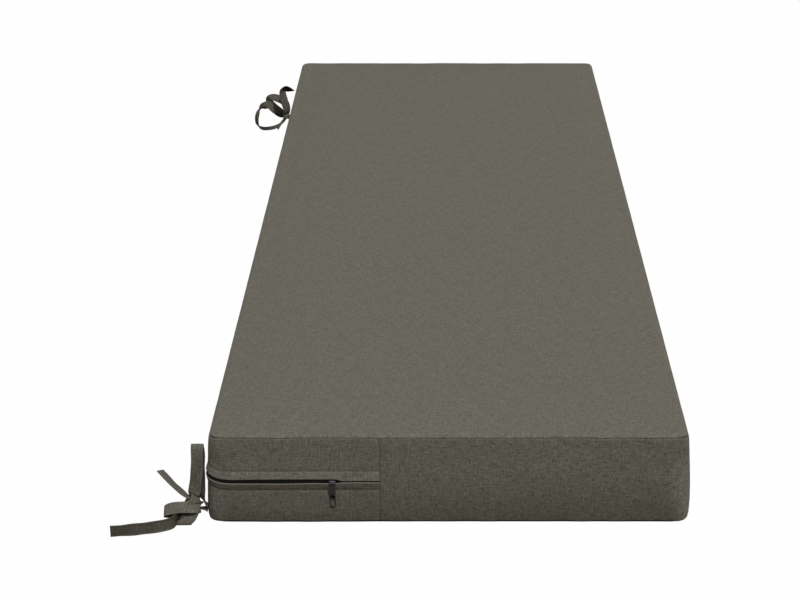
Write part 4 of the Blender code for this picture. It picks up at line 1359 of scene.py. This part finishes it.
def make_band(name, number, middle, band, material):
    """One turn of tape round a knot, as a closed and slightly pinched band."""
    axis, side, offset, reach, tall, wide = band
    axis = Vector(axis).normalized()
    side = Vector(side)
    side = (side - side.dot(axis) * axis).normalized()
    third = axis.cross(side)
    points = []
    for step in range(BAND_STEPS):
        angle = 2 * math.pi * step / BAND_STEPS
        cos, sin = math.cos(angle), math.sin(angle)
        outward = (side * (cos / reach) + third * (sin / tall)).normalized()
        centre = Vector(middle) + Vector(offset) * MM
        centre += side * (cos * reach * MM) + third * (sin * tall * MM)
        fold = 0.12 * math.sin(3 * angle + number) + 0.07 * math.sin(7 * angle + 2 * number)
        pinch = 1.0 + 0.10 * math.sin(2 * angle + number)
        for place, (a, h) in enumerate(BAND_SECTION):
            high = (h + fold * FOLDED.get(place, 0.0)) * BAND_HALF_THICK
            points.append(centre + axis * (a * wide * MM / 2 * pinch) + outward * high)
    around = len(BAND_SECTION)
    plan = [(edge * BAND_PLAN[0], ring * BAND_PLAN[1])
            for ring in range(BAND_STEPS) for edge in range(around)]
    masks = {"worn": [BAND_WORN] * len(points), "shaded": [0.0] * len(points)}
    return add_piece(f"{name}_{number}", points, tube_faces(BAND_STEPS, around, closed=True),
                     plan, material, masks)


def make_core(name, middle, sizes, material):
    """The lumpy middle of a knot."""
    select_only()
    bpy.ops.mesh.primitive_uv_sphere_add(segments=20, ring_count=12, radius=0.5)
    core = bpy.context.object
    core.name = name
    mesh = core.data
    points = read_points(mesh)
    x, y, z = points.T
    lumps = 1.0 + 0.07 * np.sin(9 * x + 4 * z) + 0.05 * np.sin(12 * y)
    points = points * lumps[:, None] * np.array(sizes) * MM + middle
    mesh.vertices.foreach_set("co", points.ravel())
    mesh.materials.append(material)
    mesh.uv_layers[0].name = "plan"
    for loop, spot in zip(mesh.loops, mesh.uv_layers[0].data):
        place = mesh.vertices[loop.vertex_index].co
        spot.uv = (place.x + place.y * 0.6, place.z)
    add_mask(mesh, "worn", [0.0] * len(points))
    add_mask(mesh, "shaded", [CORE_SHADED] * len(points))
    mesh.shade_smooth()
    return core


def make_knot(name, root_y, centre, sizes, bands, material):
    """The knot: tape wound over itself, as an overlapping band round a filled middle."""
    middle = tie_place(*centre, root_y)
    parts = [make_band(name, number, middle, band, material) for number, band in enumerate(bands)]
    parts.append(make_core(name + "_core", middle, sizes, material))
    knot = join_pieces(name, parts)
    hand_over(knot)
    return knot


TAPES = (
    # name, route, root along Y, how far one corner of its end is drawn out, and its side that gets
    # painted shade
    ("tie_front_tape_a", FRONT_TAPE_A, FRONT_TIE_Y, -0.004, 1),
    ("tie_front_tape_b", FRONT_TAPE_B, FRONT_TIE_Y, 0.0, 0),
    ("tie_back_tape_a", BACK_TAPE_A, BACK_TIE_Y, 0.0, 0),
    ("tie_back_tape_b", BACK_TAPE_B, BACK_TIE_Y, -0.004, 0),
)


def make_ties(material):
    """Two tapes and a knot for each tie."""
    made = [make_tape(*tape, material) for tape in TAPES]
    knots = ([make_knot("tie_front_knot", FRONT_TIE_Y, *FRONT_KNOT, material)], [],
             [make_knot("tie_back_knot", BACK_TIE_Y, *BACK_KNOT, material)], [])
    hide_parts("tie_front")
    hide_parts("tie_back")
    for (tape, path), along_with in zip(made, knots):
        length = round(float(loop_lengths(path)[-1]), 3)
        tuple(path[0])
        [tuple(point) for point in path]
        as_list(along_with)


# ------------------------------------------------------------------------------ making it

make_camera()
make_floor()
make_lights()

LINEN = make_linen_group()
WEAR = make_wear_group()
CLOTH_COLOUR = (0.1380, 0.1300, 0.1045)
TOP_COLOUR = (0.1330, 0.1252, 0.1006)
TAPE_COLOUR = (0.130, 0.122, 0.098)
THREAD_COLOUR = (0.120, 0.113, 0.092)
ZIP_COLOUR = (0.020, 0.021, 0.020)
SEAM_SHADE = (0.14, 0.135, 0.11)
TAPE_SHADE = (0.26, 0.245, 0.20)
panel_cloth = cloth_material("panel_cloth", TOP_COLOUR, 0.75, SEAM_SHADE)
boxing_cloth = cloth_material("boxing_cloth", CLOTH_COLOUR, 1.0, SEAM_SHADE)
zip_panel_cloth = cloth_material("zip_panel_cloth", CLOTH_COLOUR, 1.0, SEAM_SHADE,
                                 rubbed=(0.175, 0.166, 0.140))
tape_cloth = cloth_material("tape_cloth", TAPE_COLOUR, 0.8, TAPE_SHADE,
                            rubbed=(0.15, 0.142, 0.118))
zip_black = thread_material("zip_black", ZIP_COLOUR, 9000.0, 0.00006, 0.7)
coil_black = thread_material("zip_coil_black", ZIP_COLOUR, 3000.0, 0.00002, 0.42)
sewing_thread = thread_material("sewing_thread", THREAD_COLOUR, 11000.0, 0.00005)
slider_metal = metal_material("slider_metal", (0.085, 0.086, 0.092), (0.24, 0.24, 0.25), 0.40)
pull_metal = metal_material("pull_metal", (0.110, 0.108, 0.115), (0.20, 0.20, 0.205), 0.42,
                            SHADOW_BAND)

make_ties(tape_cloth)
make_body(panel_cloth)
make_boxing(boxing_cloth)
make_flap("zip_flap_upper", 1, "zip_panel_upper", zip_panel_cloth)
make_flap("zip_flap_lower", -1, "zip_panel_lower", zip_panel_cloth)
make_zip_tape(zip_black)
make_coil(coil_black)
make_stitches("stitches_upper", 1, sewing_thread)
make_stitches("stitches_lower", -1, sewing_thread)
make_slider(slider_metal)
make_pull(pull_metal)
